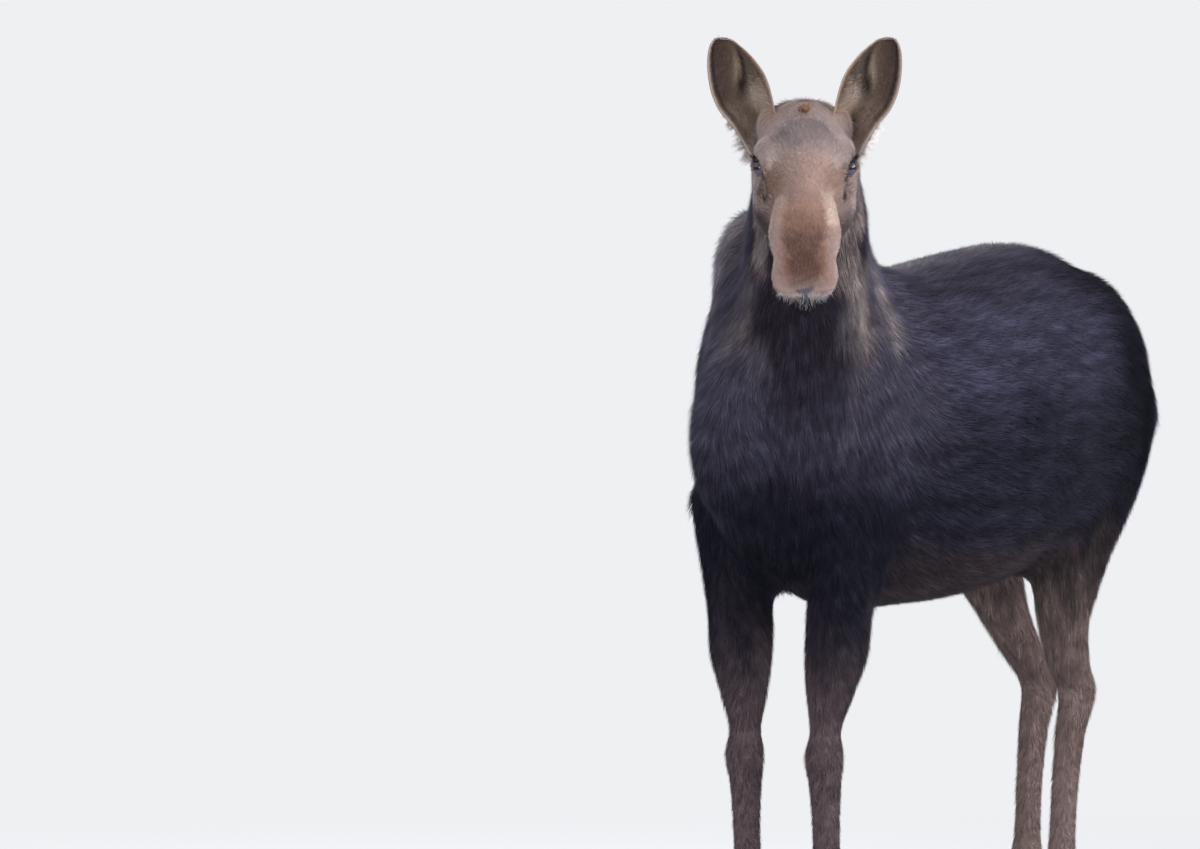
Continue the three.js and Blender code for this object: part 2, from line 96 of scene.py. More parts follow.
def curve(at: Array, values: Array, places: Array) -> Array:
    """A cubic Hermite curve through values at rising places, with slopes from each one's neighbours.

    Args:
        at: the rising places of the values.
        values: the value at each.
        places: where the curve is read.

    Returns:
        The curve there.
    """
    n = len(at)
    before, after = np.maximum(np.arange(n) - 1, 0), np.minimum(np.arange(n) + 1, n - 1)
    slope = (values[after] - values[before]) / (at[after] - at[before])
    i = np.clip(np.searchsorted(at, places, side="right") - 1, 0, n - 2)
    step = at[i + 1] - at[i]
    t = (places - at[i]) / step
    return (
        (2 * t**3 - 3 * t**2 + 1) * values[i]
        + (t**3 - 2 * t**2 + t) * step * slope[i]
        + (3 * t**2 - 2 * t**3) * values[i + 1]
        + (t**3 - t**2) * step * slope[i + 1]
    )


def waves(points: Array, size: float, seed: int, count: int = 7) -> tuple[Array, Array]:
    """Smooth noise of about -1 to 1, the mean of sine waves in random directions, and its slope.

    Args:
        points: positions, (n, 3), mm.
        size: the rough size of a blotch, mm.
        seed: which noise.
        count: how many sine waves are added.

    Returns:
        One value and one gradient for each point.
    """
    rng = np.random.default_rng(seed)
    ways = unit(rng.normal(size=(count, 3))) * (2 * math.pi / size) * rng.uniform(0.5, 1.4, (count, 1))
    turns = points @ ways.T + rng.uniform(0, 2 * math.pi, count)
    return np.sin(turns).sum(axis=1) / math.sqrt(count), np.cos(turns) @ ways / math.sqrt(count)


def ripple(points: Array, size: float, seed: int) -> Array:
    """The values of waves alone."""
    return waves(points, size, seed)[0]


# ---------------------------------------------------------------- forms


@dataclass(frozen=True)
class Place:
    """A frame of a form: an origin and three unit axes (side, along, above) as rows."""

    origin: Array
    axes: Array

    def local(self, points: Array) -> Array:
        """World points as (side, along, above)."""
        return (points - self.origin) @ self.axes.T

    def world(self, local: Array) -> Array:
        """Points given as (side, along, above), in the world."""
        return self.origin + np.asarray(local, float) @ self.axes

    def turn(self, local: Array) -> Array:
        """Directions given as (side, along, above), in the world."""
        return np.asarray(local, float) @ self.axes


STRAIGHT = Place(np.zeros(3), np.eye(3))


class Form(Protocol):
    """A closed form: the corners of a box round it, and its field of distances."""

    low: Array
    high: Array

    def distance(self, points: Array) -> Array:
        """About the distance to the form, negative inside."""


class Lobe:
    """An ellipsoid; its distance is k0 (k0 - 1) / k1 of the usual approximate ellipsoid distance."""

    def __init__(self, place: Place, centre: tuple, radii: tuple) -> None:
        """Sets the centre and radii, both as side, along and above, in the frame of place.

        Args:
            place: the frame.
            centre: the middle, as side, along and above, mm.
            radii: the radii in the same order, mm.
        """
        self.place, self.centre, self.radii = place, np.array(centre, float), np.array(radii, float)
        middle = place.world(self.centre)
        self.low, self.high = middle - self.radii.max(), middle + self.radii.max()

    def distance(self, points: Array) -> Array:
        """About the distance to the ellipsoid, negative inside.

        Args:
            points: positions in the drafting frame, (n, 3), mm.

        Returns:
            One distance for each point, mm.
        """
        q = self.place.local(points) - self.centre
        near = np.linalg.norm(q / self.radii, axis=1)
        steep = np.linalg.norm(q / self.radii**2, axis=1)
        return np.where(steep < 1e-9, -self.radii.min(), near * (near - 1) / np.maximum(steep, 1e-9))


class Slices:
    """A long form cut in slices, each a rounded outline of given half width and reach above and below.

    A point's distance is (near - 1) / slope, where near is the p-norm of its offsets over the slice's
    sizes, and past the ends the offset along the form over the end's length joins that norm.
    """

    KEYS = ("side", "middle", "half", "over", "under", "round")

    def __init__(self, place: Place, rows: list[tuple], ends: tuple, order: tuple = (1, 0, 2)) -> None:
        """Sets the slices.

        Args:
            place: the frame of the form.
            rows: one (at, side, middle, half, over, under, round) for each slice.
            ends: the lengths of the two round ends.
            order: which of side, along and above is the way along, across and up in a slice.
        """
        self.place, self.ends, self.order = place, ends, order
        table = np.array(rows, float)
        self.first, self.last = table[0, 0], table[-1, 0]
        self.at = np.linspace(self.first, self.last, 600)
        self.table = {k: curve(table[:, 0], table[:, i + 1], self.at) for i, k in enumerate(self.KEYS)}
        corners = []
        for at, side, middle, half, over, under, _ in rows:
            past = (-ends[0] if at == self.first else 0, ends[1] if at == self.last else 0)
            for s, v, e in product((-half, half), (-under, over), past):
                corner = np.zeros(3)
                corner[list(order)] = at + e, side + s, middle + v
                corners.append(place.world(corner))
        self.low, self.high = np.min(corners, axis=0), np.max(corners, axis=0)

    def value(self, key: str, at: Array) -> Array:
        """A size of the slices at given places along the form."""
        return np.interp(at, self.at, self.table[key])

    def distance(self, points: Array) -> Array:
        """About the distance to the form, negative inside.

        Args:
            points: positions in the drafting frame, (n, 3), mm.

        Returns:
            One distance for each point, mm.
        """
        q = self.place.local(points)
        at = q[:, self.order[0]]
        u = np.abs(q[:, self.order[1]] - self.value("side", at))
        v = q[:, self.order[2]] - self.value("middle", at)
        half = self.value("half", at)
        above = v > 0
        reach = np.where(above, self.value("over", at), self.value("under", at))
        power = np.where(above, self.value("round", at), 2.1)
        before = at < self.first
        end = np.where(before, self.ends[0], self.ends[1])
        past = np.where(before, self.first - at, np.maximum(at - self.last, 0)) / end
        parts = np.stack([u / half, np.abs(v) / reach, past])
        sizes = np.stack([half, reach, end])
        total = np.maximum((parts**power).sum(axis=0), 1e-9)
        near = total ** (1 / power)
        steep = np.sqrt((((parts + 1e-9) ** (power - 1) / sizes) ** 2).sum(axis=0))
        return np.maximum((near - 1) / (steep * near ** (1 - power)), -np.minimum(half, reach))


class Blend:
    """Forms joined with soft valleys: min(a, b) - h^2 width / 4, with h = (width - |a - b|) / width."""

    def __init__(self, width: float, *forms: Form) -> None:
        """Sets the width of the valleys and the forms.

        Args:
            width: how wide the valleys are, mm.
            forms: the forms that are joined.
        """
        self.width, self.forms = width, forms
        self.low = np.min([f.low for f in forms], axis=0)
        self.high = np.max([f.high for f in forms], axis=0)

    def distance(self, points: Array) -> Array:
        """About the distance to the joined forms, FAR well away from all of them.

        Args:
            points: positions in the drafting frame, (n, 3), mm.

        Returns:
            One distance for each point, mm.
        """
        out = np.full(len(points), FAR)
        for form in self.forms:
            near = within_reach(form, points)
            if near.any():
                out[near] = soft_min(out[near], form.distance(points[near]), self.width)
        return out


def within_reach(form: Form, points: Array) -> Array:
    """Which points are near enough to a form's box for its field to count."""
    return ((points > form.low - REACH) & (points < form.high + REACH)).all(axis=1)


def soft_min(a: Array, b: Array, width: float) -> Array:
    """The smaller of two fields, rounded over the given width where they are near each other."""
    h = np.maximum(width - np.abs(a - b), 0) / width
    return np.minimum(a, b) - h * h * width / 4


def soft_max(a: Array, b: Array, width: float) -> Array:
    """The larger of two fields, rounded in the same way."""
    return -soft_min(-a, -b, width)


def slice_row(
    at: float, top: float, bottom: float, middle: float, half: float, round_: float = 2.1, side: float = 0
) -> tuple:
    """One slice from the top and bottom of its outline, its middle, half width and roundness."""
    return (at, side, middle, half, top - middle, middle - bottom, round_)


def leg_row(at: float, side: float, along: float, half: float, front: float, back: float) -> tuple:
    """One level slice of a leg, from its height, its middle and its half sizes."""
    return (at, side, along, half, back, front, 2.1)


def pair(place: Place, centre: tuple, radii: tuple) -> list[Lobe]:
    """Two lobes, one on each side."""
    side, along, above = centre
    return [Lobe(place, (way * side, along, above), radii) for way in SIDES]


# ---------------------------------------------------------------- the animal's own shape


class Region(Enum):
    """The parts of the body that carry their own coat and lie."""

    TRUNK = 0
    NECK = 1
    HEAD = 2
    FORE_LEFT = 3
    FORE_RIGHT = 4
    HIND_LEFT = 5
    HIND_RIGHT = 6
    TAIL = 7


LEGS = (Region.FORE_LEFT, Region.FORE_RIGHT, Region.HIND_LEFT, Region.HIND_RIGHT)

# Where a slice is, the top, bottom and middle of its outline, its half width and its roundness, mm.
TRUNK_ROWS = [
    slice_row(-215, 1480, 1080, 1270, 112),
    slice_row(-110, 1640, 985, 1290, 160, 1.9),
    slice_row(40, 1800, 920, 1290, 208, 1.7),
    slice_row(220, 1708, 870, 1280, 272, 1.7),
    slice_row(420, 1648, 867, 1265, 327, 1.95),
    slice_row(640, 1664, 875, 1265, 347),
    slice_row(850, 1689, 911, 1290, 333),
    slice_row(1030, 1695, 1000, 1340, 298, 2.05),
    slice_row(1190, 1620, 1085, 1370, 254, 2.1),
    slice_row(1285, 1562, 1170, 1385, 214, 2.2),
]
HEAD_ROWS = [
    slice_row(30, 88, -120, 0, 90, 2.5),
    slice_row(100, 101, -140, 0, 101, 2.5),
    slice_row(170, 103, -148, 5, 103, 2.4),
    slice_row(235, 98, -142, 5, 92, 2.2),
    slice_row(305, 89, -120, 0, 74, 2),
    slice_row(370, 84, -102, -4, 62, 2),
    slice_row(430, 84, -92, -4, 63, 2.3),
    slice_row(480, 84, -86, -2, 70, 2.5),
    slice_row(530, 71, -88, -6, 69, 2.5),
    slice_row(572, 42, -92, -18, 65, 2.4),
]
# The share of the neck's length, the top and bottom, the half width, the roundness and the side shift.
NECK_SHARES = [
    (0.0, 330, -300, 168, 1.7, 0),
    (0.25, 282, -262, 158, 1.8, 12),
    (0.5, 232, -196, 148, 1.9, 20),
    (0.75, 176, -136, 138, 2.0, 18),
    (1.0, 120, -130, 112, 2.1, 4),
]
# The height, the middle across and along, the half width, and the reach ahead and behind, mm.
FORELEG_ROWS = [
    leg_row(88, 104, -30, 47, 56, 52),
    leg_row(150, 103, -12, 38, 42, 44),
    leg_row(212, 103, 4, 43, 46, 50),
    leg_row(285, 103, 4, 35, 37, 42),
    leg_row(400, 104, 0, 35, 37, 41),
    leg_row(490, 104, -4, 40, 42, 45),
    leg_row(555, 104, -8, 47, 50, 50),
    leg_row(615, 105, -4, 38, 44, 48),
    leg_row(695, 113, 2, 58, 56, 62),
    leg_row(780, 124, 8, 75, 72, 80),
    leg_row(880, 130, 14, 77, 88, 96),
    leg_row(980, 142, 20, 80, 108, 118),
    leg_row(1120, 150, 20, 82, 128, 130),
]
HINDLEG_ROWS = [
    leg_row(88, 122, 1188, 47, 56, 52),
    leg_row(150, 121, 1210, 38, 42, 44),
    leg_row(212, 121, 1232, 43, 46, 50),
    leg_row(290, 121, 1240, 35, 38, 42),
    leg_row(420, 122, 1252, 35, 38, 42),
    leg_row(540, 123, 1274, 38, 42, 46),
    leg_row(640, 126, 1296, 46, 46, 64),
    leg_row(715, 132, 1244, 50, 72, 66),
    leg_row(810, 142, 1180, 58, 92, 84),
    leg_row(910, 154, 1134, 72, 132, 124),
    leg_row(1020, 166, 1104, 86, 168, 156),
    leg_row(1150, 170, 1102, 92, 186, 172),
    leg_row(1280, 172, 1106, 96, 182, 184),
]
HIP = 1280.0  # the height where a hind leg starts to swing ahead or back, mm
HOCK = 640.0  # and where its whole shift is reached
HIND_SHIFT = {1: -190.0, -1: 75.0}  # how far back each hind foot stands, mm
CORONET = 84.0  # the height where the hair ends above the hooves, mm
HEAD_TURN = 31.0  # degrees to the animal's left
HEAD_PITCH = 28.0  # degrees down
TAIL_LEAN = 13.0  # degrees from upright
EYE = (92.0, 218.0, 31.0)  # an eye's middle in the head's frame
EYE_RADIUS = 21.0


def head_place() -> Place:
    """The head's frame: turned to the animal's left and pitched down, its origin at the poll.

    Returns:
        The frame.
    """
    a, p = math.radians(HEAD_TURN), math.radians(HEAD_PITCH)
    side = np.array([math.cos(a), math.sin(a), 0])
    along = np.array([math.sin(a) * math.cos(p), -math.cos(a) * math.cos(p), -math.sin(p)])
    above = np.array([math.sin(a) * math.sin(p), -math.cos(a) * math.sin(p), math.cos(p)])
    poll = np.array([318.0, -452.0, 1886.0]) - 205 * along - 35 * above
    return Place(poll, np.stack([side, along, above]))


def neck_place(head: Place) -> tuple[Place, float]:
    """The neck's frame, from the chest up to the nape, and the neck's length.

    Args:
        head: the head's frame.

    Returns:
        The frame and the length, mm.
    """
    root, top = np.array([-6.0, 12.0, 1400.0]), head.world([0, 70, -22])
    along = unit(top - root)
    side = unit(np.array([-along[1], along[0], 0]))
    return Place(root, np.stack([side, along, np.cross(along, side)])), float(np.linalg.norm(top - root))


def leg_rows(rows: list[tuple], side: int, shift: float) -> list[tuple]:
    """A leg's slices on its own side, with its foot shifted: none at the hip, all from the hock down.

    Args:
        rows: the slices, drawn for the left side.
        side: 1 for the left, -1 for the right.
        shift: how far back the foot goes, mm.

    Returns:
        The slices of the leg.
    """
    out = []
    for at, across, middle, *sizes in rows:
        share = float(ramp(np.array(HIP - at), 0, HIP - HOCK))
        out.append((at, across * side, middle + shift * share, *sizes))
    return out


def eye_place(head: Place, side: int) -> Place:
    """An eye's frame: from its rear corner to its front one, outwards, and up across the slit.

    Args:
        head: the head's frame.
        side: 1 for the left, -1 for the right.

    Returns:
        The frame, with its origin in the eye's middle.
    """
    out = unit(head.turn([0.64 * side, 0.70, 0.30]))
    slit = head.turn([-0.53 * side, 0.62, -0.58])
    slit = unit(slit - (slit @ out) * out)
    up = np.cross(out, slit)
    up = up if up @ head.axes[2] > 0 else -up
    return Place(head.world([EYE[0] * side, EYE[1], EYE[2]]), np.stack([slit, out, up]))


class Anatomy:
    """The animal's forms out to the tips of its coat, and what follows from them at any point."""

    FADE = 20.0  # over how many mm one region passes into the next
    JOINTS = (  # how wide each region's valley to the trunk is, mm, in the order they are joined on
        (Region.NECK, 95), (Region.HEAD, 60), (Region.FORE_LEFT, 70), (Region.FORE_RIGHT, 70),
        (Region.HIND_LEFT, 120), (Region.HIND_RIGHT, 120), (Region.TAIL, 22),
    )

    def __init__(self) -> None:
        """Builds the frames and forms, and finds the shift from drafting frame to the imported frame."""
        self.head = head_place()
        self.neck, span = neck_place(self.head)
        rows = [slice_row(t * span, top, low, 0, *rest) for t, top, low, *rest in NECK_SHARES]
        tables = [(FORELEG_ROWS, side, 0.0) for side in SIDES]
        tables += [(HINDLEG_ROWS, side, HIND_SHIFT[side]) for side in SIDES]
        self.legs = {
            leg: Slices(STRAIGHT, leg_rows(table, side, shift), (30, 60), (2, 0, 1))
            for leg, (table, side, shift) in zip(LEGS, tables)
        }
        trunk = Blend(
            70,
            Slices(STRAIGHT, TRUNK_ROWS, (105, 118)),
            *pair(STRAIGHT, (86, 30, 1645), (82, 165, 150)),  # the shoulder blades, under the hump
            *pair(STRAIGHT, (150, 75, 1300), (86, 160, 320)),  # the shoulders
            *pair(STRAIGHT, (162, 1095, 1345), (108, 196, 268)),  # the haunches
        )
        neck = Slices(self.neck, rows, (120, 60))
        skull = Blend(
            26,
            Slices(self.head, HEAD_ROWS, (70, 32)),
            *pair(self.head, (82, 196, 54), (28, 52, 30)),  # the brows
            *pair(self.head, (66, 185, -64), (46, 115, 76)),  # the cheeks
            *pair(self.head, (44, 490, 12), (34, 56, 46)),  # the muzzle's upper sides
            *pair(self.head, (38, 566, -52), (34, 36, 40)),  # the halves of the upper lip
            *pair(self.head, (66, 52, 52), (34, 40, 34)),  # the roots of the ears
            Lobe(self.head, (0, 70, 82), (46, 56, 26)),  # the crown
        )
        lower_lip = Lobe(self.head, (0, 492, -95), (44, 76, 33))
        face = Blend(7, skull, lower_lip)
        cos, sin = math.cos(math.radians(TAIL_LEAN)), math.sin(math.radians(TAIL_LEAN))
        hang = np.array([[1, 0, 0], [0, cos, sin], [0, -sin, cos]])
        tail = Lobe(Place(np.array([0, 1395, 1466.0]), hang), (0, 0, 0), (27, 22, 86))
        self.forms = {Region.TRUNK: trunk, Region.NECK: neck, Region.HEAD: face}
        self.forms |= {**self.legs, Region.TAIL: tail}
        self.shift = self._shift()

    def _shift(self) -> Array:
        """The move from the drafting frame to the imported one, from where the eyes are.

        Returns:
            The move, mm.
        """
        boxes = [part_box(f"eye_{name}") for name in SIDES.values()]
        middle = np.mean([np.array(corner) for box in boxes for corner in box], axis=0) / MM
        shift = middle - self.head.world([0, EYE[1], EYE[2]])
        return np.array([shift[0], shift[1], 0.0])

    def placed(self, points: Array) -> Array:
        """Drafting points, mm, as packed points, metres."""
        return (points + self.shift) * MM

    def distances(self, points: Array) -> Array:
        """The distance to every region's own form, (n, regions).

        Args:
            points: positions in the drafting frame, (n, 3), mm.

        Returns:
            Distances, mm.
        """
        out = np.full((len(points), len(Region)), FAR)
        for region, form in self.forms.items():
            near = within_reach(form, points)
            if near.any():
                out[near, region.value] = form.distance(points[near])
        return out

    def shares(self, distances: Array) -> Array:
        """How much each region counts at a point: e to the minus distance over FADE, summing to one.

        Args:
            distances: the distance to every region's own form, (n, regions).

        Returns:
            Shares, (n, regions).
        """
        low = distances.min(axis=1, keepdims=True)
        share = np.exp(-(distances - low) / self.FADE)
        return share / share.sum(axis=1, keepdims=True)

    def depth(self, points: Array, shares: Array) -> Array:
        """The coat's depth at a point, mm: deep on the trunk and mane, thin on the face and low legs.

        Args:
            points: positions in the drafting frame, (n, 3), mm.
            shares: the regions' shares at the points, (n, regions).

        Returns:
            One depth for each point, mm.
        """
        z = points[:, 2]
        crest = ramp(self.neck.local(points)[:, 2], -40, 160)
        leg = 7 + 7 * ramp(z, 620, 980)
        by_region = {Region.TRUNK: 14 + 2 * ramp(z, 1450, 1750), Region.NECK: 15 + 4 * crest}
        by_region |= {Region.HEAD: np.full(len(points), 4.0), Region.TAIL: np.full(len(points), 9.0)}
        by_region |= {region: leg for region in LEGS}
        return sum(shares[:, region.value] * value for region, value in by_region.items())

    def coat_field(self, distances: Array) -> Array:
        """The distance to the coat's outer face from the regions' own distances.

        Args:
            distances: the distance to every region's own form, (n, regions).

        Returns:
            One distance for each point, mm.
        """
        out = distances[:, Region.TRUNK.value]
        for region, width in self.JOINTS:
            out = soft_min(out, distances[:, region.value], width)
        return out


def nostril(head: Place, side: int) -> Blend:
    """The hollow of a nostril: a comma, wide below and in front, that hooks up and back.

    Args:
        head: the head's frame.
        side: 1 for the left, -1 for the right.

    Returns:
        The form that is carved away.
    """
    bowl = Lobe(head, (side * 74, 524, -22), (17, 15, 15))
    waist = Lobe(head, (side * 73, 510, -5), (14, 14, 10))
    hook = Lobe(head, (side * 71, 490, 5), (12, 18, 6.5))
    return Blend(9, bowl, waist, hook)


def tear_groove(head: Place, side: int) -> Blend:
    """The groove that runs down the face from an eye's front corner.

    Args:
        head: the head's frame.
        side: 1 for the left, -1 for the right.

    Returns:
        The form that is carved away.
    """
    upper = Lobe(head, (side * 89, 246, 11), (3.5, 9, 12))
    middle = Lobe(head, (side * 87, 258, -9), (3.5, 8, 14))
    lower = Lobe(head, (side * 84.5, 268, -34), (2.2, 6, 16))
    return Blend(8, upper, middle, lower)


class Skin:
    """The one skin: the coat's outer field set in by the coat's depth, with the face's own details.

    Its net has a grid with coarse steps, and fine ones over the head.
    """

    SPANS = ((-372, 600), (-860, 1440), (82, 2080))  # how far the grid goes along x, y and z, mm
    HEAD_SPANS = ((120, 520), (-800, -235), (1560, 2040))  # where its steps are fine, mm
    STEPS = (15, 4.2)  # the coarse step and the fine one, mm
    BLOCK = 4
    NODES = (
        "trunk", "neck", "head", "tail", "ear_left", "ear_right",
        *(
            f"{end}leg_{level}_{side}"
            for end, level, side in product(("fore", "hind"), ("upper", "lower"), SIDES.values())
        ),
    )

    def __init__(self, anatomy: Anatomy) -> None:
        """Builds the details that are carved into the face or raised on it.

        Args:
            anatomy: the animal's forms.
        """
        self.anatomy = anatomy
        head = anatomy.head
        self.raised: list[tuple[Form, float]] = [
            (Lobe(head, (0, 552, -4), (48, 44, 53)), 22.0),  # the muzzle's front
            (Lobe(head, (0, 500, -100), (40, 68, 37)), 14.0),  # the lower lip
            (Lobe(head, (0, 412, -84), (38, 96, 28)), 26.0),  # the underside of the jaw
        ]
        cleft = Lobe(head, (0, 607, -76), (3.0, 14, 20))
        self.carved: list[tuple[Form, float]] = [(cleft, 6.0)]  # the cleft of the upper lip
        for side in SIDES:
            eye = eye_place(head, side)
            self.raised += [
                (Lobe(eye, (0, -2, 0), (29, 25.5, 25)), 12.0),  # the swelling of the lids
                (Lobe(head, (side * 88, 226, -48), (16, 52, 34)), 24.0),  # the cheekbone below the eye
                (Lobe(head, (side * 50, 452, 46), (17, 60, 26)), 16.0),  # the side of the nose
            ]
            self.carved += [
                (Lobe(eye, (0, 24, -0.5), (22.5, 17, 12.2)), 2.5),  # the slit of the eye
                (Lobe(eye, (-2, 20, 18), (23, 7, 2.2)), 4.0),  # the upper lid's crease
                (Lobe(eye, (1, 19, -17), (20, 6, 2.0)), 4.0),  # the lower lid's crease
                (nostril(head, side), 5.0),
                (tear_groove(head, side), 8.0),
                (Lobe(head, (side * 74, 350, -8), (10, 60, 9)), 22.0),  # the hollow ahead of the cheek
                (Lobe(head, (side * 60, 496, -86), (34, 86, 3.6)), 5.0),  # the line of the mouth
            ]

    def level(self, points: Array) -> Array:
        """The skin's field: zero on the skin, negative inside.

        Args:
            points: positions in the drafting frame, (n, 3), mm.

        Returns:
            One distance for each point, mm.
        """
        distances = self.anatomy.distances(points)
        out = self.anatomy.coat_field(distances)
        out = out + self.anatomy.depth(points, self.anatomy.shares(distances))
        near = distances[:, Region.HEAD.value] < 60
        if near.any():
            close, value = points[near], out[near]
            for lobe, width in self.raised:
                value = soft_min(value, lobe.distance(close), width)
            for lobe, width in self.carved:
                value = soft_max(value, -lobe.distance(close), width)
            out[near] = value
        return soft_max(out, CORONET - points[:, 2], 6.0)

    def slope(self, points: Array, step: float = 0.6) -> Array:
        """The field's gradient by central differences.

        Args:
            points: positions in the drafting frame, (n, 3), mm.
            step: the difference's half width, mm.

        Returns:
            One gradient for each point.
        """
        out = np.empty_like(points)
        for k in range(3):
            move = np.zeros(3)
            move[k] = step
            out[:, k] = (self.level(points + move) - self.level(points - move)) / (2 * step)
        return out

    def settle(self, points: Array, rounds: int = 2) -> tuple[Array, Array]:
        """Points moved onto the skin by Newton's steps, and the skin's normals there.

        Args:
            points: positions in the drafting frame, (n, 3), mm.
            rounds: how many steps are made.

        Returns:
            The moved points and their normals.
        """
        for _ in range(rounds):
            g = self.slope(points)
            size = np.maximum((g**2).sum(axis=1, keepdims=True), 0.2)
            move = -self.level(points)[:, None] * g / size
            points = points + np.clip(move, -5, 5)
        return points, unit(self.slope(points))

    def net(self) -> tuple[Array, Array, Array]:
        """The skin's points, its quads, and its normals at the points.

        Returns:
            Points (n, 3), mm, quads (m, 4) and normals (n, 3).
        """
        axes = [
            spaced(*span, fine, self.STEPS, self.BLOCK) for span, fine in zip(self.SPANS, self.HEAD_SPANS)
        ]
        points, quads = surface_net(self.level, axes, self.BLOCK)
        points, normals = self.settle(points)
        return points, outward(points, quads), normals

    def build(
        self,
        points: Array,
        quads: Array,
        markings: "Markings",
        ears: list["Ear"],
        finish: bpy.types.Material,
    ) -> None:
        """Makes the one skin of the body and the ears, in place of the nodes of flesh.

        Args:
            points: the body's points, mm.
            quads: its faces.
            markings: the colours.
            ears: the ears.
            finish: the skin's material.
        """
        shares = self.anatomy.shares(self.anatomy.distances(points))
        shapes, faces, colours = [points], [quads], [markings.body(points, shares)]
        for ear in ears:
            shape, quads = ear.surface(self.anatomy.head)
            faces.append(quads + sum(len(s) for s in shapes))
            shapes.append(shape)
            t, s = np.meshgrid(np.linspace(0, 1, ear.rows), np.linspace(0, 1, ear.columns), indexing="ij")
            t, s = t.ravel(), s.ravel()
            colours += [markings.ear(t, s, np.full(len(t), inside)) for inside in (False, True)]
        placed = self.anatomy.placed(np.concatenate(shapes))
        # painted shade under the hair
        shade = UNDER_HAIR_SHADE * np.concatenate(colours)
        piece = mesh_object("skin", placed, [np.concatenate(faces)], finish, shade)
        hand_over(piece, "body_coat", *self.NODES)


# ---------------------------------------------------------------- surfaces from fields


def spaced(
    low: float, high: float, fine: tuple[float, float], steps: tuple[float, float], block: int
) -> Array:
    """Grid places from low to high, finely spaced over a part of the way.

    Args:
        low: the first place, or a little before it.
        high: the last place, or a little past it.
        fine: where the fine spacing starts and ends.
        steps: the coarse and the fine spacing.
        block: the cells along a block's edge.

    Returns:
        Rising places whose count is one more than a whole number of blocks.
    """
    coarse, small = steps
    before = np.arange(max(math.ceil((fine[0] - low) / coarse), 0)) * coarse
    before = fine[0] - coarse * (1 + before[::-1] / coarse)
    middle = fine[0] + small * np.arange(math.ceil((fine[1] - fine[0]) / small) + 1)
    after = middle[-1] + coarse * np.arange(1, max(math.ceil((high - middle[-1]) / coarse), 0) + 1)
    places = np.concatenate([before, middle, after])
    extra = (-(len(places) - 1)) % block
    return np.concatenate([places, places[-1] + coarse * np.arange(1, extra + 1)])


def corner_views(values: Array) -> list[Array]:
    """Views of a grid's values, one for each of the eight corners of its cells.

    Args:
        values: the values at the grid's places.

    Returns:
        Eight arrays, each with one value for a cell.
    """
    return [
        values[tuple(slice(at, at + size - 1) for at, size in zip(corner, values.shape))]
        for corner in product((0, 1), repeat=3)
    ]


def refined(values: Array, block: int) -> Array:
    """Values of whole blocks, repeated for each of their cells.

    Args:
        values: one value for each block.
        block: cells along a block's edge.

    Returns:
        One value for each cell.
    """
    for axis in range(3):
        values = np.repeat(values, block, axis=axis)
    return values


def sampled(level: Callable[[Array], Array], axes: list[Array], block: int) -> Array:
    """A field on a grid, read at every block's corners, then at all places of blocks near the surface.

    Args:
        level: the field, a function of (n, 3) points.
        axes: the grid's places along x, y and z, each a whole number of blocks plus one.
        block: cells along a block's edge.

    Returns:
        The values, rough wherever the surface can't pass.
    """
    coarse = [a[::block] for a in axes]
    corners = np.stack(np.meshgrid(*coarse, indexing="ij"), axis=-1).reshape(-1, 3)
    rough = level(corners).reshape([len(c) for c in coarse])
    near = np.min([np.abs(view) for view in corner_views(rough)], axis=0)
    sizes = np.meshgrid(*[np.diff(c) for c in coarse], indexing="ij")
    passed = refined(near < NEAR_SHARE * np.sqrt(sum(s**2 for s in sizes)), block)
    values = refined(rough, block)[tuple(slice(len(a)) for a in axes)].astype(np.float32)
    wanted = np.zeros(values.shape, bool)
    for view in corner_views(wanted):
        view |= passed
    index = np.argwhere(wanted)
    values[wanted] = level(np.stack([axes[k][index[:, k]] for k in range(3)], axis=1))
    return values


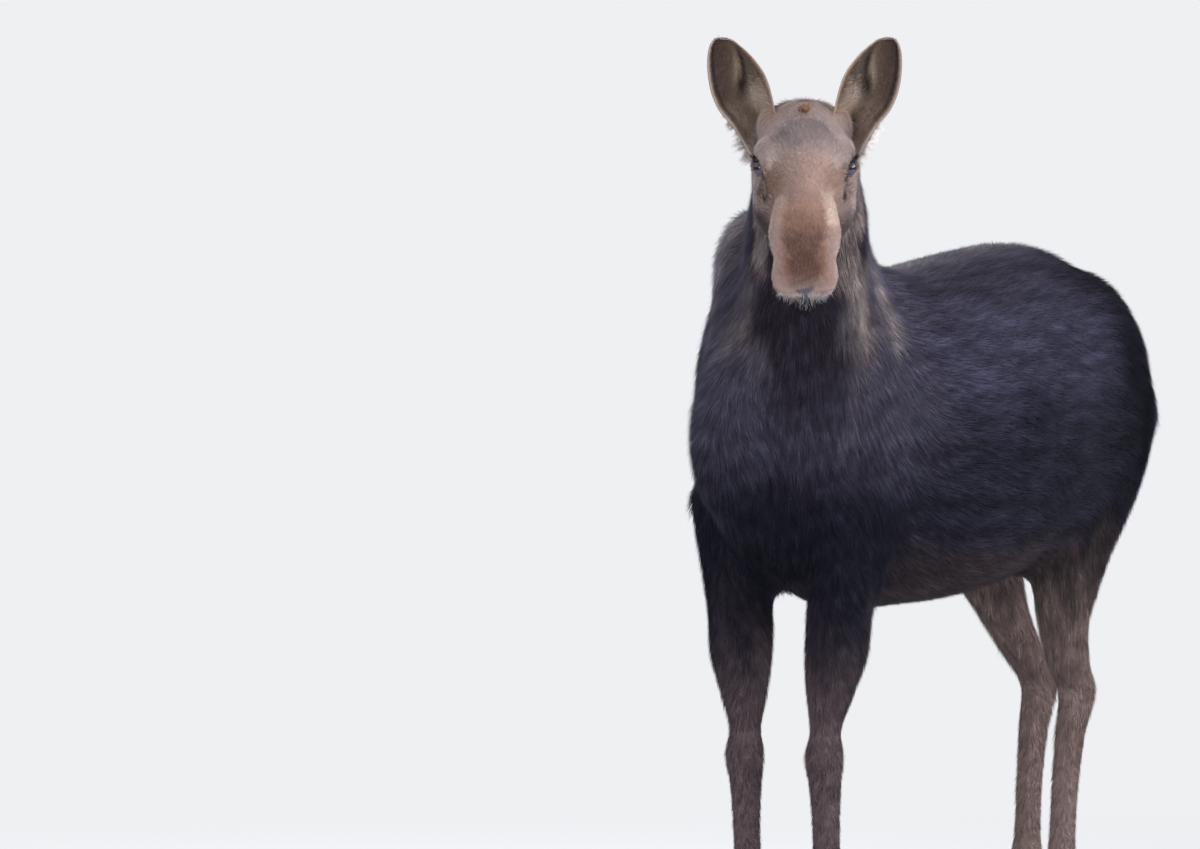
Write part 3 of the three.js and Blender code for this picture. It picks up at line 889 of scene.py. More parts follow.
def surface_net(level: Callable[[Array], Array], axes: list[Array], block: int) -> tuple[Array, Array]:
    """A surface net of a field's zero level on a grid of uneven spacing.

    Each cell with a change of sign gets one vertex, at the mean of the crossings on its edges, and
    each grid edge with a change of sign gets one quad from the four cells round it.

    Args:
        level: the field, a function of (n, 3) points.
        axes: the grid's places along x, y and z, each a whole number of blocks plus one.
        block: cells along a block's edge.

    Returns:
        Vertices (n, 3) and quads (m, 4) that face outwards.
    """
    values = sampled(level, axes, block)
    inside = (values < 0).astype(np.uint8)
    total = sum(corner_views(inside))
    cell = np.argwhere((total > 0) & (total < 8))
    number = np.full(total.shape, -1, np.int32)
    number[tuple(cell.T)] = np.arange(len(cell))
    steps = np.eye(3, dtype=int)

    sums, counts = np.zeros((len(cell), 3)), np.zeros(len(cell))
    for k, i, j in product(range(3), (0, 1), (0, 1)):
        a = cell + i * steps[(k + 1) % 3] + j * steps[(k + 2) % 3]
        b = a + steps[k]
        va, vb = values[tuple(a.T)], values[tuple(b.T)]
        cross = (va < 0) != (vb < 0)
        t = np.where(cross, va / np.where(cross, va - vb, 1), 0)
        p = np.stack([axes[m][a[:, m]] for m in range(3)], axis=1)
        p[:, k] += t * (axes[k][b[:, k]] - axes[k][a[:, k]])
        sums += p * cross[:, None]
        counts += cross

    quads = []
    for k in range(3):
        edge = np.argwhere(np.diff(inside, axis=k))
        u, w = (k + 1) % 3, (k + 2) % 3
        inner = (edge[:, u] > 0) & (edge[:, w] > 0)
        edge = edge[inner & (edge[:, u] < values.shape[u] - 1) & (edge[:, w] < values.shape[w] - 1)]
        cells = [edge + i * steps[u] + j * steps[w] for i, j in ((-1, -1), (0, -1), (0, 0), (-1, 0))]
        quad = np.stack([number[tuple(c.T)] for c in cells], axis=1)
        inwards = inside[tuple(edge.T)] == 0
        quad[inwards] = quad[inwards][:, ::-1]
        quads.append(quad)
    return sums / counts[:, None], np.concatenate(quads)


# ---------------------------------------------------------------- meshes


def mesh_object(
    name: str, points: Array, faces: list[Array], finish: bpy.types.Material, colours: Array | None = None
) -> bpy.types.Object:
    """A smooth mesh object from arrays.

    Args:
        name: the piece's name.
        points: vertices, (n, 3), metres.
        faces: arrays of faces, each (m, corners).
        finish: its material.
        colours: one colour for each vertex, stored as its markings, or none.

    Returns:
        The new object, linked to the scene, at the origin.
    """
    mesh = bpy.data.meshes.new(name)
    corners = np.concatenate([f.ravel() for f in faces]).astype(np.int32)
    totals = np.concatenate([np.full(len(f), f.shape[1]) for f in faces])
    starts = np.concatenate([[0], np.cumsum(totals)[:-1]]).astype(np.int32)
    mesh.vertices.add(len(points))
    mesh.vertices.foreach_set("co", np.ascontiguousarray(points, np.float32).ravel())
    mesh.loops.add(len(corners))
    mesh.loops.foreach_set("vertex_index", corners)
    mesh.polygons.add(len(starts))
    mesh.polygons.foreach_set("loop_start", starts)
    mesh.polygons.foreach_set("use_smooth", np.ones(len(starts), bool))
    mesh.update(calc_edges=True)
    mesh.materials.append(finish)
    if colours is not None:
        rgba = np.ones((len(colours), 4), np.float32)
        rgba[:, :3] = colours
        mesh.color_attributes.new(MARKINGS, "FLOAT_COLOR", "POINT").data.foreach_set("color", rgba.ravel())
    piece = bpy.data.objects.new(name, mesh)
    bpy.context.scene.collection.objects.link(piece)
    return piece


def hand_over(piece: bpy.types.Object, slot: str, *nodes: str) -> None:
    """Rides a piece on the body, hides the imported nodes that it stands for, and logs it with its slot.

    Args:
        piece: the piece.
        slot: the slot named in the log.
        nodes: the nodes that it stands for, if any.
    """
    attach(piece, BODY)
    if nodes:
        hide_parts(*nodes)
    LOG.info("%s: %d faces in slot %s", piece.name, len(piece.data.polygons), slot)


def grid_faces(rows: int, columns: int, start: int = 0, wrap: bool = False) -> Array:
    """The quads of a grid of points in rows, its columns joined round if wrap is set.

    Args:
        rows: how many rows there are.
        columns: how many points each has.
        start: the number of the first point.
        wrap: whether the last column joins the first.

    Returns:
        Quads, (m, 4).
    """
    i, j = np.meshgrid(np.arange(rows - 1), np.arange(columns if wrap else columns - 1), indexing="ij")
    i, j = i.ravel(), j.ravel()
    k = (j + 1) % columns
    row, after = i * columns, (i + 1) * columns
    return start + np.stack([row + j, row + k, after + k, after + j], axis=1)


def ring_grid(levels: Array, columns: int) -> tuple[Array, Array]:
    """The level and the turn of each point of a set of rings.

    Args:
        levels: one level for each ring.
        columns: how many points each has.

    Returns:
        Two arrays of rings x columns values.
    """
    turns = np.linspace(0, 2 * math.pi, columns, endpoint=False)
    level, turn = np.meshgrid(levels, turns, indexing="ij")
    return level.ravel(), turn.ravel()


def outward(points: Array, faces: Array) -> Array:
    """The faces of a closed surface, turned round if they enclose a negative volume.

    Args:
        points: the surface's points.
        faces: its faces, (m, corners).

    Returns:
        The faces, with the outside on the right.
    """
    a, b, c = points[faces[:, 0]], points[faces[:, 1]], points[faces[:, 2]]
    volume = np.einsum("ij,ij->", a, np.cross(b, c))
    if faces.shape[1] == 4:
        volume += np.einsum("ij,ij->", a, np.cross(c, points[faces[:, 3]]))
    return faces if volume > 0 else faces[:, ::-1]


def capped_rings(points: Array, rows: int, columns: int) -> list[Array]:
    """The faces of rings of points, closed at both ends by fans.

    Args:
        points: the rings' points, then the two points that the fans meet in, (rows x columns + 2, 3).
        rows: how many rings.
        columns: how many points each has.

    Returns:
        The quads between the rings and the triangles of each fan, all facing outwards.
    """
    quads = grid_faces(rows, columns, wrap=True)
    j = np.arange(columns)
    k = (j + 1) % columns
    last, pole = (rows - 1) * columns, np.full(columns, rows * columns)
    caps = [np.stack([pole, k, j], axis=1), np.stack([pole + 1, last + j, last + k], axis=1)]
    turned = outward(points, quads)
    return [turned, *(caps if turned is quads else [c[:, ::-1] for c in caps])]


ANATOMY = Anatomy()

# ---------------------------------------------------------------- the ears


EAR_ROWS = np.array([
    # inner rim side, rise; outer rim side, rise; depth of the cup
    [50, 8, 112, -64, 64],
    [58, 34, 137, -20, 66],
    [64, 62, 162, 18, 62],
    [69, 85, 188, 48, 56],
    [75, 108, 205, 84, 50],
    [84, 132, 213, 122, 44],
    [100, 157, 215, 158, 37],
    [122, 182, 212, 186, 28],
    [147, 202, 204, 204, 17],
    [160, 209, 194, 210, 11],
    [170, 212.5, 183, 213, 5],
], float)


@dataclass(frozen=True)
class Ear:
    """One ear: a cup between two rims, its skin thinner than the coated ear by the hair's depth."""

    side: int
    rows: int = 46
    columns: int = 34
    outer_inset: float = 2.2  # from the coat's outer face in to the skin at the back, mm
    inner_inset: float = 6.0  # and in the cup
    along: float = 48.0  # where the ear's root is in the head's frame
    above: float = 28.0
    ahead: float = 40.0  # how far the rims stand ahead of the root
    pivot: float = 64.0  # how far out the ear turns about its own length
    tilt: float = 18.0  # how far it leans back from the head's upright, degrees
    turn: float = 12.0  # how far its outer rim is swept back, degrees

    def points(self, head: Place, t: Array, s: Array, inset: Array) -> Array:
        """Points of the ear.

        From root to tip (t from 0 to 1) the two rims are joined by an arc that bulges back by
        sin(pi s)^0.75 times the cup's depth; a low fold stands on the inside near the inner rim.

        Args:
            head: the head's frame.
            t: the share from root to tip.
            s: the share from the inner rim to the outer one.
            inset: the distance in from the coat's outer face at the back of the ear.

        Returns:
            Points in the drafting frame.
        """
        at = t * (len(EAR_ROWS) - 1)
        cells = np.arange(len(EAR_ROWS))
        inner_x, inner_z, outer_x, outer_z, depth = (curve(cells, EAR_ROWS[:, k], at) for k in range(5))
        wide = np.hypot(outer_x - inner_x, outer_z - inner_z)
        pull = inset * 0.7 / wide
        share = pull + (1 - 2 * pull) * s
        furrow = 0.46 - 0.85 * (t - 0.44)
        ridges = 10 * hump(s, furrow - 0.20, 0.07) * hump(t, 0.47, 0.19)
        ridges = ridges + 8 * hump(s, furrow + 0.14, 0.08) * hump(t, 0.50, 0.17)
        ridges = ridges + 7 * hump(s, 0.72, 0.09) * hump(t, 0.21, 0.09)
        ridges = ridges + 6 * hump(s, 0.45, 0.06) * hump(t, 0.2, 0.1)
        fold = ridges * (inset > 4)
        bend = np.sin(math.pi * s) ** 0.75 * np.maximum(depth - inset, 1) - fold
        x = inner_x + (outer_x - inner_x) * share
        z = inner_z + (outer_z - inner_z) * share - 0.6 * inset * ramp(t, 0.85, 1.0)
        tilt, turn = math.radians(self.tilt), math.radians(self.turn)
        rise = head.turn([0, -math.sin(tilt), math.cos(tilt)])
        ahead = head.turn([0, math.cos(tilt), math.sin(tilt)])
        root = head.world([0, self.along, self.above])
        back = bend + math.tan(turn) * (x - self.pivot)
        across = x - bend * math.sin(turn) / 2
        aside = head.turn([self.side, 0, 0])
        return root + across[:, None] * aside + z[:, None] * rise + (self.ahead - back)[:, None] * ahead

    def surface(self, head: Place) -> tuple[Array, Array]:
        """The closed ear: its back, its inside, and the strips that join them round the rim.

        Args:
            head: the head's frame.

        Returns:
            Points, mm, and quads.
        """
        t, s = np.meshgrid(np.linspace(-0.03, 1, self.rows), np.linspace(0, 1, self.columns), indexing="ij")
        t, s = t.ravel(), s.ravel()
        outer = self.points(head, t, s, np.full(len(t), self.outer_inset))
        inner = self.points(head, t, s, np.full(len(t), self.inner_inset))
        n, rows, columns = len(t), self.rows, self.columns
        back, front = grid_faces(rows, columns), grid_faces(rows, columns, n)[:, ::-1]
        i, j = np.arange(rows - 1) * columns, np.arange(columns - 1)
        last = columns - 1
        near = np.stack([i, i + columns, n + i + columns, n + i], axis=1)
        far = np.stack([i + last, n + i + last, n + i + columns + last, i + columns + last], axis=1)
        top = (rows - 1) * columns
        root = np.stack([j, n + j, n + j + 1, j + 1], axis=1)
        tip = np.stack([top + j, top + j + 1, n + top + j + 1, n + top + j], axis=1)
        faces = np.concatenate([back, front, near, far, root, tip])
        points = np.concatenate([outer, inner])
        return points, outward(points, faces)


# ---------------------------------------------------------------- the markings


class Tone(Enum):
    """The colours of the coat, as linear red, green and blue."""

    RUMP = (0.007, 0.007, 0.013)
    FLANK = (0.049, 0.047, 0.081)
    LOW_FLANK = (0.017, 0.017, 0.030)
    SHOULDER = (0.085, 0.081, 0.121)
    SADDLE = (0.031, 0.029, 0.044)
    # painted rim light along the back
    RIDGE = (0.120, 0.112, 0.132)
    BELLY = (0.036, 0.026, 0.031)
    # pale buttock hair, with painted backlight where it reaches the rear edge
    BUTTOCK = (0.244, 0.204, 0.211)
    MANE = (0.180, 0.150, 0.162)
    EDGE = (0.300, 0.275, 0.310)
    GREY_NECK = (0.120, 0.105, 0.138)
    WARM_MANE = (0.205, 0.168, 0.168)
    PALE_MANE = (0.432, 0.372, 0.360)
    THROAT = (0.034, 0.028, 0.043)
    THIGH = (0.087, 0.065, 0.065)
    SHANK = (0.236, 0.173, 0.163)
    FORE_SHANK = (0.135, 0.098, 0.108)
    CHEEK = (0.285, 0.207, 0.193)
    LOW_CHEEK = (0.171, 0.132, 0.137)
    PALE_CHEEK = (0.408, 0.330, 0.318)
    # dark jaw hair, also laid as painted shade in the tear grooves and between the cheek's streaks
    JAW = (0.040, 0.032, 0.037)
    EYE_SIDE = (0.330, 0.228, 0.195)
    EYE_RIM = (0.330, 0.275, 0.270)
    UPPER_BRIDGE = (0.420, 0.292, 0.255)
    BRIDGE = (0.345, 0.215, 0.175)
    RUSSET = (0.290, 0.168, 0.118)
    # painted highlight on the edges of the bridge
    BRIDGE_EDGE = (0.600, 0.470, 0.400)
    MUZZLE_TOP = (0.248, 0.145, 0.114)
    MUZZLE = (0.350, 0.250, 0.228)
    MUZZLE_SIDE = (0.250, 0.182, 0.165)
    PATCH = (0.079, 0.045, 0.038)
    # pale lip hair, also laid down the sides of the muzzle as painted rim light
    LIP = (0.605, 0.497, 0.475)
    PAD = (0.130, 0.120, 0.145)
    FOREHEAD = (0.270, 0.218, 0.224)
    BROW = (0.420, 0.331, 0.310)
    CROWN = (0.430, 0.350, 0.340)
    DARK = (0.012, 0.010, 0.012)
    COWLICK = (0.380, 0.215, 0.130)
    EAR_BACK = (0.105, 0.082, 0.078)
    EAR_CUP = (0.134, 0.095, 0.074)
    EAR_OUTER = (0.102, 0.071, 0.063)
    EAR_LOW = (0.225, 0.168, 0.138)
    EAR_FOLD = (0.140, 0.111, 0.095)
    EAR_STRIPE = (0.360, 0.288, 0.230)
    EAR_GREY = (0.110, 0.095, 0.100)
    EAR_PALE = (0.446, 0.367, 0.312)
    EAR_ROOT = (0.448, 0.293, 0.207)
    EAR_BASE = (0.475, 0.375, 0.350)
    EAR_RIM = (0.270, 0.165, 0.105)
    EAR_EDGE = (0.408, 0.323, 0.289)
    EAR_TUFT = (0.780, 0.730, 0.710)
    TAIL = (0.030, 0.024, 0.026)


class Layers:
    """The colours of some points, painted tone over tone."""

    def __init__(self, ground: Tone, count: int) -> None:
        """Starts every point in one tone."""
        self.colour = np.tile(np.array(ground.value, float), (count, 1))

    def lay(self, tone: Tone, mask: Array) -> "Layers":
        """Lays a tone over the colours by a mask of 0 to 1.

        Args:
            tone: the colour.
            mask: how much of it each point takes.

        Returns:
            The layers, for one more lay.
        """
        m = np.clip(mask, 0, 1)[:, None]
        self.colour = self.colour * (1 - m) + np.array(tone.value) * m
        return self


class Markings:
    """The animal's colours, with painted light and shade in places, as formulas of place, shared by the
    skin and every tuft.
    """

    def __init__(self, anatomy: Anatomy) -> None:
        """Keeps the frames that the markings are drawn in."""
        self.anatomy = anatomy

    def trunk(self, points: Array) -> Array:
        """Blue-black flanks, a painted rim light on the back, a brown belly, paler buttocks edged with
        painted backlight, a grey shoulder.

        Args:
            points: positions in the drafting frame, (n, 3), mm.

        Returns:
            Linear colours, (n, 3).
        """
        x, y, z = points.T
        wave = 40 * ripple(points, 260, 3)
        streak = ripple(points * [1, 0.3, 1], 60, 4)
        out = Layers(Tone.FLANK, len(points))
        out.lay(Tone.LOW_FLANK, ramp(z + wave, 1470, 1240))
        out.lay(Tone.SADDLE, 0.9 * ramp(z + wave, 1440, 1640) * ramp(y, 1150, 900))
        out.lay(Tone.SHOULDER, 0.9 * ramp(y + wave, 330, 140) * ramp(z + wave, 1080, 1420))
        out.lay(Tone.RUMP, 0.9 * ramp(y + wave, 820, 1120))
        out.lay(Tone.BELLY, 0.9 * ramp(z + 0.6 * wave, 1080, 940) * ramp(y, 60, 260))
        out.lay(Tone.MANE, 0.7 * ramp(z + 0.6 * wave + 20 * streak, 1600, 1790) * ramp(y + wave, 420, 60))
        out.lay(Tone.EDGE, 0.7 * ramp(z + wave, 1470, 1600) * ramp(y, 30, -90) * ramp(np.abs(x), 60, 115))
        # pale buttocks, brightened and carried out to the rear outline as painted backlight
        out.lay(Tone.BUTTOCK, 0.8 * ramp(y + 24 * streak, 1190, 1390) * ramp(z + 20 * streak, 960, 1260))
        # painted rim light: a pale line along the middle of the back
        out.lay(Tone.RIDGE, 0.6 * hump(x, 0, 55) * ramp(z, 1560, 1640) * (y > 150))
        return self._pale_mane(points, out).colour * (1 + 0.16 * streak)[:, None]

    def neck(self, points: Array) -> Array:
        """Near black below, with a paler grey-brown mane along the crest and pale locks at its foot.

        Args:
            points: positions in the drafting frame, (n, 3), mm.

        Returns:
            Linear colours, (n, 3).
        """
        q = self.anatomy.neck.local(points)
        wave = 30 * ripple(points, 120, 5)
        side, along, up = np.abs(q[:, 0]), q[:, 1], q[:, 2]
        out = Layers(Tone.THROAT, len(points))
        flank = ramp(side + 0.9 * wave, 70, 138)
        out.lay(Tone.GREY_NECK, 0.95 * flank * ramp(along + wave, 440, 370))
        out.lay(Tone.SHOULDER, 0.9 * ramp(up + wave, -60, 60))
        out.lay(Tone.MANE, 0.75 * ramp(up + wave, 60, 180))
        out.lay(Tone.SHOULDER, 0.45 * ramp(along + wave, 300, 60))
        streak = ripple(points * [1, 1, 0.25], 24, 18)
        under = ramp(along, 485, 520)
        low = ramp(up + 0.3 * wave - 28 * under, -40, -66)
        outer = ramp(side, 128 + 26 * under, 116 + 26 * under)
        jaw = ramp(along, 380, 430) * low * ramp(side, 66, 82) * outer
        out.lay(Tone.LOW_CHEEK, 0.9 * jaw)
        out.lay(Tone.PALE_CHEEK, 0.85 * jaw * ramp(streak, -0.9, 0.4))
        return self._pale_mane(points, out).colour

    def _pale_mane(self, points: Array, out: Layers) -> Layers:
        """Pale locks laid where the mane falls over the side of the neck and the front of the shoulders.

        Args:
            points: positions in the drafting frame, (n, 3), mm.
            out: the layers so far.

        Returns:
            The same layers.
        """
        q = self.anatomy.neck.local(points)
        side, along, up = np.abs(q[:, 0]), q[:, 1], q[:, 2]
        streak = ripple(points * [1, 1, 0.3], 34, 17)
        front = hump(up + 0.12 * (along - 300), -96, 34) * ramp(along, 150, 230) * ramp(along, 460, 390)
        behind = hump(up - 0.6 * (along - 150), 58, 42) * ramp(along, 60, 120) * ramp(along, 270, 190)
        place = np.maximum(front * ramp(side, 84, 108), 0.85 * behind * ramp(side, 126, 170))
        left = np.where(q[:, 0] > 0, 1.0, 0.3)
        wide = hump(up + 0.12 * (along - 300), -84, 72) * ramp(along, 110, 230) * ramp(along, 470, 400)
        out.lay(Tone.WARM_MANE, 0.8 * wide * ramp(side, 80, 118) * left)
        return out.lay(Tone.PALE_MANE, place * left * (0.34 + 0.5 * ramp(streak, -0.6, 0.8)))

    def leg(self, points: Array, hind: bool) -> Array:
        """Dark above, grey-tan below; paler on the hind legs.

        Args:
            points: positions in the drafting frame, (n, 3), mm.
            hind: whether it's a hind leg.

        Returns:
            Linear colours, (n, 3).
        """
        z = points[:, 2]
        wave = 45 * ripple(points * [1, 1, 0.4], 70, 7)
        out = Layers(Tone.LOW_FLANK, len(points))
        if hind:
            out.lay(Tone.THIGH, 0.9 * ramp(z + wave, 1120, 950))
            # the pale buttock colour with its painted backlight, carried down the back of the hind leg
            out.lay(Tone.BUTTOCK, 0.45 * ramp(points[:, 1] + 0.5 * wave, 1170, 1330) * ramp(z, 860, 1060))
            out.lay(Tone.SHANK, 0.92 * ramp(z + wave, 960, 800))
        else:
            out.lay(Tone.FORE_SHANK, 0.9 * ramp(z + wave, 980, 560))
        return out.lay(Tone.THROAT, 0.75 * ramp(z, 135, 92)).colour

    def head(self, points: Array) -> Array:
        """The face, mostly by how far a place lies below the eyes and out from the middle line.

        Args:
            points: positions in the drafting frame, (n, 3), mm.

        Returns:
            Linear colours, (n, 3).
        """
        s, a, u = self.anatomy.head.local(points).T
        w, w2 = ripple(points, 55, 9), ripple(points, 16, 10)
        side = np.abs(s)
        fall = self.anatomy.head.world([0, EYE[1], EYE[2]])[2] - points[:, 2] + 4 * w
        edge = np.interp(fall, [20, 50, 75, 111, 150], [48, 52, 58, 68, 92]) + 2.5 * w2
        out = Layers(Tone.CHEEK, len(points))
        out.lay(Tone.LOW_CHEEK, ramp(u + 8 * w, -10, -70))
        out.lay(Tone.MUZZLE_SIDE, ramp(a + 10 * w, 285, 345))
        upper = np.maximum(ramp(u, -62, -34), ramp(a, 545, 575))
        streak = ripple(points * [1, 1, 0.22], 15, 13)
        # pale streaks on the cheek, with painted light that makes them stronger on the left, where the
        # light falls; the dark streaks between them are painted shade in the folds of the hair
        strip = ramp(a + 8 * w, 285, 250) * ramp(fall, 14, 40) * ramp(u, -110, -80)
        out.lay(Tone.PALE_CHEEK, 0.9 * strip * ramp(streak, -0.1, 0.6) * np.where(s > 0, 1.0, 0.4))
        out.lay(Tone.JAW, 0.75 * strip * ramp(streak, 0.0, -0.6) * ramp(side, 74, 90))
        out.lay(Tone.JAW, 0.55 * ramp(u - 0.18 * a + 10 * w, -80, -125) * ramp(a, 440, 390))
        out.lay(Tone.JAW, 0.85 * ramp(a + 12 * w, 100, 40) * ramp(u, 30, -30))
        out.lay(Tone.EYE_SIDE, 0.95 * ramp(fall, 84, 24) * ramp(u, -22, 16))
        arch = 112 + 0.018 * s * s + 5 * w2
        out.lay(Tone.BROW, ramp(u, 20, 44) * ramp(fall, 12, -22))
        cap = ramp(u, 30, 60) * ramp(fall + 9 * w2, -34, -66) * ramp(side + 4 * w2, 84, 56)
        out.lay(Tone.FOREHEAD, cap * (0.8 + 0.2 * np.clip(ripple(points, 7, 14), -1, 1)))
        out.lay(Tone.CROWN, ramp(a, arch + 7, arch - 4) * ramp(u, -10, 40))
        out.lay(Tone.BROW, 0.8 * hump(a, arch + 3, 4) * ramp(u, 40, 60) * ramp(side, 80, 60))
        out.lay(Tone.EAR_ROOT, 0.6 * hump(side, 64, 24) * hump(a, 46, 34) * ramp(u, 10, 50))
        top = ramp(fall + 6 * w2, -52, -14) * ramp(fall, 84, 44)
        out.lay(Tone.UPPER_BRIDGE, top * ramp(side + 3 * w2, 62, 26))
        beside = hump(side - edge + 4 * w2, 13, 13) * ramp(fall, 4, 34) * ramp(fall, 120, 80)
        beside = beside * ramp(u, -16, 14)
        out.lay(Tone.RUSSET, 0.75 * beside * np.where(s > 0, 0.6, 1.0))
        soft = 10 + 8 * ramp(fall, 110, 70)
        inner = ramp(side, edge + soft, edge - soft) * upper
        out.lay(Tone.BRIDGE, ramp(fall + 6 * w2, 26, 92) * inner)
        out.lay(Tone.MUZZLE_TOP, ramp(fall, 78, 112) * inner)
        front = ramp(a + 8 * w, 405, 455) * ramp(u, -92, -70)
        out.lay(Tone.MUZZLE, front * ramp(side + 3 * w2, 38, 60) * ramp(fall, 96, 132))
        out.lay(Tone.MUZZLE, front * ramp(fall, 222, 256))
        spots = 0.78 + 0.22 * np.clip(1.4 * ripple(points, 6, 15), -1, 1)
        reach = 58 - 13 * ramp(fall, 148, 178)
        patch = ramp(fall + 5 * w2, 118, 150) * ramp(fall, 276, 232)
        patch = patch * ramp(side - reach + 4 * w + 3 * w2, 0, -22)
        out.lay(Tone.PATCH, 0.92 * patch * spots * (0.8 + 0.2 * hump(fall, 195, 45)))
        # painted highlight: pale streaks along the edges of the bridge, stronger on the left, where the
        # light falls
        painted_highlight = ramp(side - edge, -30, -12) * ramp(fall, 36, 66) * ramp(fall, 142, 110) * ramp(u, 10, 34)
        out.lay(Tone.BRIDGE_EDGE, painted_highlight * np.where(s > 0, 0.8, 0.25))
        # painted rim light: a pale band down the sides of the muzzle, stronger on the left, where the light
        # falls
        rim = ramp(side + 2 * w2, 60, 72) * hump(fall, 198, 34) * ramp(a, 430, 470) * ramp(u, -100, -75)
        out.lay(Tone.LIP, rim * np.where(s > 0, 0.85, 0.4))
        out.lay(Tone.LIP, 0.95 * ramp(fall + 2 * w2, 258, 270) * ramp(a, 540, 560) * ramp(side, 4, 9))
        out.lay(Tone.DARK, ramp(u + 3 * w2, -94, -101) * ramp(a, 380, 430))
        out.lay(Tone.COWLICK, 0.5 * hump(side, 0, 12) * hump(a, 86, 15) * ramp(u, 60, 90))
        for way in SIDES:
            # painted shade: the hollows of the nostrils are darkened
            out.lay(Tone.DARK, ramp(nostril(self.anatomy.head, way).distance(points), 4.5, 0.5))
            eye = eye_place(self.anatomy.head, way).local(points)
            ring = np.hypot(eye[:, 0] / 22.5, eye[:, 2] / 14)
            above = ramp(eye[:, 2], -4, 6)
            near = (eye[:, 1] > 2) & (np.linalg.norm(eye, axis=1) < 36)
            out.lay(Tone.EYE_RIM, 0.8 * hump(ring, 1.22, 0.16) * (1 - above) * near)
            rear = above * ramp(-eye[:, 0], -4, 14)
            slit = ramp(ring, 1.06 + 0.14 * above + 0.22 * rear, 0.96 + 0.2 * rear)
            out.lay(Tone.DARK, 0.9 * slit * near)
            # painted shade: the tear groove is darkened
            groove_shade = ramp(tear_groove(self.anatomy.head, way).distance(points), 5, 0)
            out.lay(Tone.JAW, 0.42 * groove_shade)
        wedge = 20 * np.clip((284 - fall) / 26, 0, 1)
        return out.lay(Tone.PAD, ramp(side - wedge, 2, -2) * ramp(fall, 250, 257) * (a > 560)).colour

    def body(self, points: Array, shares: Array) -> Array:
        """The colours at any points of the skin, from the regions' shares there.

        Args:
            points: positions in the drafting frame, (n, 3), mm.
            shares: the regions' shares at the points, (n, regions).

        Returns:
            Linear colours, (n, 3).
        """
        out = np.zeros((len(points), 3))
        for region in Region:
            share = shares[:, region.value]
            near = share > 0.002
            if near.any():
                out[near] += share[near, None] * self._region(region, points[near])
        return out

    def _region(self, region: Region, points: Array) -> Array:
        """The colours of one region.

        Args:
            region: which region.
            points: positions in the drafting frame, (n, 3), mm.

        Returns:
            Linear colours, (n, 3).
        """
        if region in LEGS:
            return self.leg(points, region in LEGS[2:])
        if region is Region.TAIL:
            return Layers(Tone.TAIL, len(points)).colour
        return {Region.TRUNK: self.trunk, Region.NECK: self.neck, Region.HEAD: self.head}[region](points)

    def ear(self, t: Array, s: Array, inside: Array) -> Array:
        """An ear's colours from its shares from root to tip and rim to rim, inside it or on its back.

        Inside, a furrow runs slanting from the pit up towards the tip, with a pale stripe on its outer side
        and a grey fold on its inner one; the pit, the line of the furrow and a crease low in the cup carry
        painted shade. Below the pit pale hair fans out over an orange root, and the outer half is speckled
        brown.

        Args:
            t: the share from root to tip.
            s: the share from the inner rim to the outer one.
            inside: whether each point is in the cup.

        Returns:
            Linear colours, (n, 3).
        """
        out = Layers(Tone.EAR_BACK, len(t))
        cup = inside.astype(float)
        speck = 0.5 + 0.5 * np.sin(71 * t + 9 * np.sin(23 * s)) * np.sin(53 * s + 7 * np.sin(31 * t))
        swirl = 0.5 + 0.5 * np.sin(34 * s + 5 * np.sin(26 * t)) * np.sin(42 * t + 4 * np.sin(19 * s))
        furrow = s - (0.46 - 0.85 * (t - 0.44))
        out.lay(Tone.EAR_CUP, cup)
        out.lay(Tone.EAR_LOW, cup * ramp(t, 0.42, 0.26))
        out.lay(Tone.EAR_OUTER, cup * ramp(s, 0.66, 0.86) * ramp(t, 0.28, 0.42))
        fold = cup * 0.9 * ramp(furrow, 0.02, -0.08) * ramp(t, 0.36, 0.44)
        out.lay(Tone.EAR_FOLD, fold * ramp(t, 0.8, 0.6))
        out.lay(Tone.EAR_STRIPE, cup * 0.9 * hump(furrow, 0.13, 0.065) * hump(t, 0.52, 0.13))
        out.lay(Tone.DARK, cup * 0.42 * speck * ramp(s, 0.40, 0.60) * ramp(t, 0.92, 0.75))
        out.lay(Tone.DARK, cup * 0.45 * ramp(swirl, 0.55, 0.85) * hump(t, 0.22, 0.12) * ramp(s, 0.42, 0.55))
        out.lay(Tone.EAR_GREY, cup * 0.8 * hump(furrow, -0.02, 0.06) * hump(t, 0.67, 0.06))
        # painted shade: the pit, the line of the furrow and a crease low in the cup are darkened
        furrow_shade = hump(furrow, 0, 0.045) * ramp(t, 0.36, 0.44) * ramp(t, 0.76, 0.62)
        pit_shade = hump(furrow, 0.03, 0.10) * hump(t, 0.43, 0.07)
        crease_shade = hump(s - 0.62 - 1.6 * (0.12 - t), 0, 0.045) * ramp(t, 0.24, 0.14)
        out.lay(Tone.EAR_ROOT, cup * ramp(t, 0.30, 0.20) * ramp(s, 0.50, 0.32))
        fan = hump(s, 0.28, 0.15) * hump(t, 0.31, 0.075)
        out.lay(Tone.EAR_PALE, cup * 0.95 * np.clip(1.3 * fan, 0, 1))
